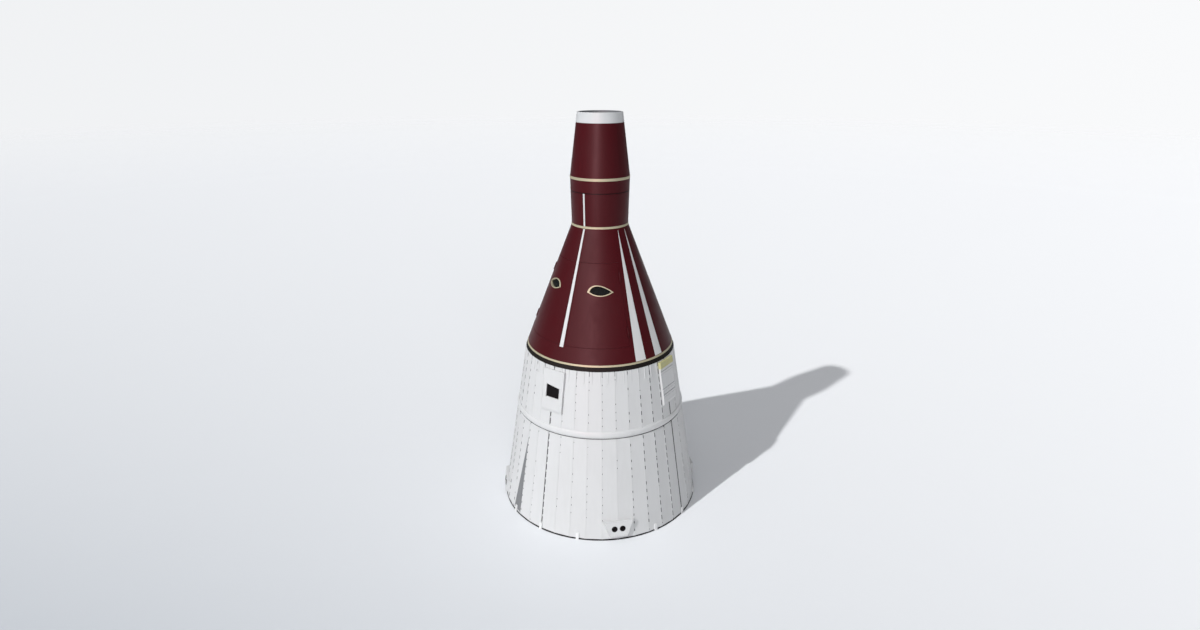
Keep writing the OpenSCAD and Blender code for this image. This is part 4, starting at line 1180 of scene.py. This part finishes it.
bezels, faces_under, ticks = [], [], []
for side in (-1, 1):
    for x0, y0, radius in dials:
        middle = np.array([side * x0, y0, panel_face])
        bezels.append(turned(np.multiply(bezel_profile, (radius, 1)), 28, middle))
        faces_under.append(turned(np.multiply(plate_profile, (radius, 1)), 28, middle))
        for hour in range(12):
            ticks.append(dial_mark(middle, radius, hour * math.pi / 6, tick_outline, -0.0015, -0.0026))
        reading = 0.7 + 5.1 * x0 + 2.3 * y0 * side
        ticks.append(dial_mark(middle, radius, reading, needle_outline, -0.0028, -0.0042))
make_piece("dial_bezels", "dark_metal", blackened, np.stack(bezels), closed=True)
make_piece("dial_faces", "dark_metal", dial_black, np.stack(faces_under))
make_piece("dial_marks", "white_paint", dial_white, np.stack(ticks))

levers, collars = [], []
for side in (-1, 1):
    for x0 in np.linspace(0.09, 0.46, 12):
        for y0 in (0.205, 0.255):
            foot = np.array([side * x0, y0, panel_face])
            tip = foot + (0.0, 0.010 if int(x0 * 100) % 3 else -0.010, -0.024)
            levers.append(tube(np.linspace(foot, tip, 4), np.array([0.0022, 0.0026, 0.0036, 0.0028]), 8))
            collars.append(tube(np.linspace(foot, foot - (0, 0, 0.006), 2) + (1e-5, 0, 0), 0.0065, 10))
make_piece("toggle_switches", "steel", bare_metal, np.stack(levers), np.stack(collars))
rails = []
for side in (-1, 1):
    for y0 in (0.180, 0.230, 0.280):
        x = side * np.array([0.070, 0.072, 0.075, 0.470, 0.473, 0.475])
        z = panel_face - np.array([0.0, 0.018, 0.022, 0.022, 0.018, 0.0])
        rails.append(tube(np.stack([x, 0 * x + y0, z], -1), 0.0028, 8))
make_piece("switch_guards", "steel", latch_metal, np.stack(rails))


# ---------- Centre console ----------
# A tall box between the seats, with rows of circuit breakers on both sides and a hand controller on its front.
console_half = 0.055
breaker_profile = [(0.0070, 0.0), (0.0070, 0.005), (0.0045, 0.0055), (0.0045, 0.013), (0.0030, 0.0145)]
breaker_y, breaker_z, breaker_out = np.moveaxis(turned(breaker_profile, 12, (0, 0, 0)), -1, 0)
breakers = []
for side in (-1, 1):
    for z0 in np.linspace(2.86, 3.36, 14):
        for y0 in np.linspace(-0.035, 0.125, 6):
            breakers.append(np.stack([side * (console_half + breaker_out), y0 + breaker_y, z0 + breaker_z], -1))
make_piece("circuit_breakers", "dark_metal", blackened, np.stack(breakers))
grip_run = np.linspace(0, 1, 26)
grip_path = np.stack([0 * grip_run, -0.060 - 0.115 * np.sin(grip_run * 1.45), 2.80 + 0.135 * grip_run ** 2.2], -1)
grip_size = 0.010 + 0.010 * np.clip((grip_run - 0.45) * 3.4, 0, 1)
grip_size += 0.002 * np.sin(grip_run * 26) * (grip_run > 0.55)
grip_size[-2:] *= (0.8, 0.35)
make_piece("hand_controller", "dark_metal", blackened, tube(grip_path, grip_size, 18))
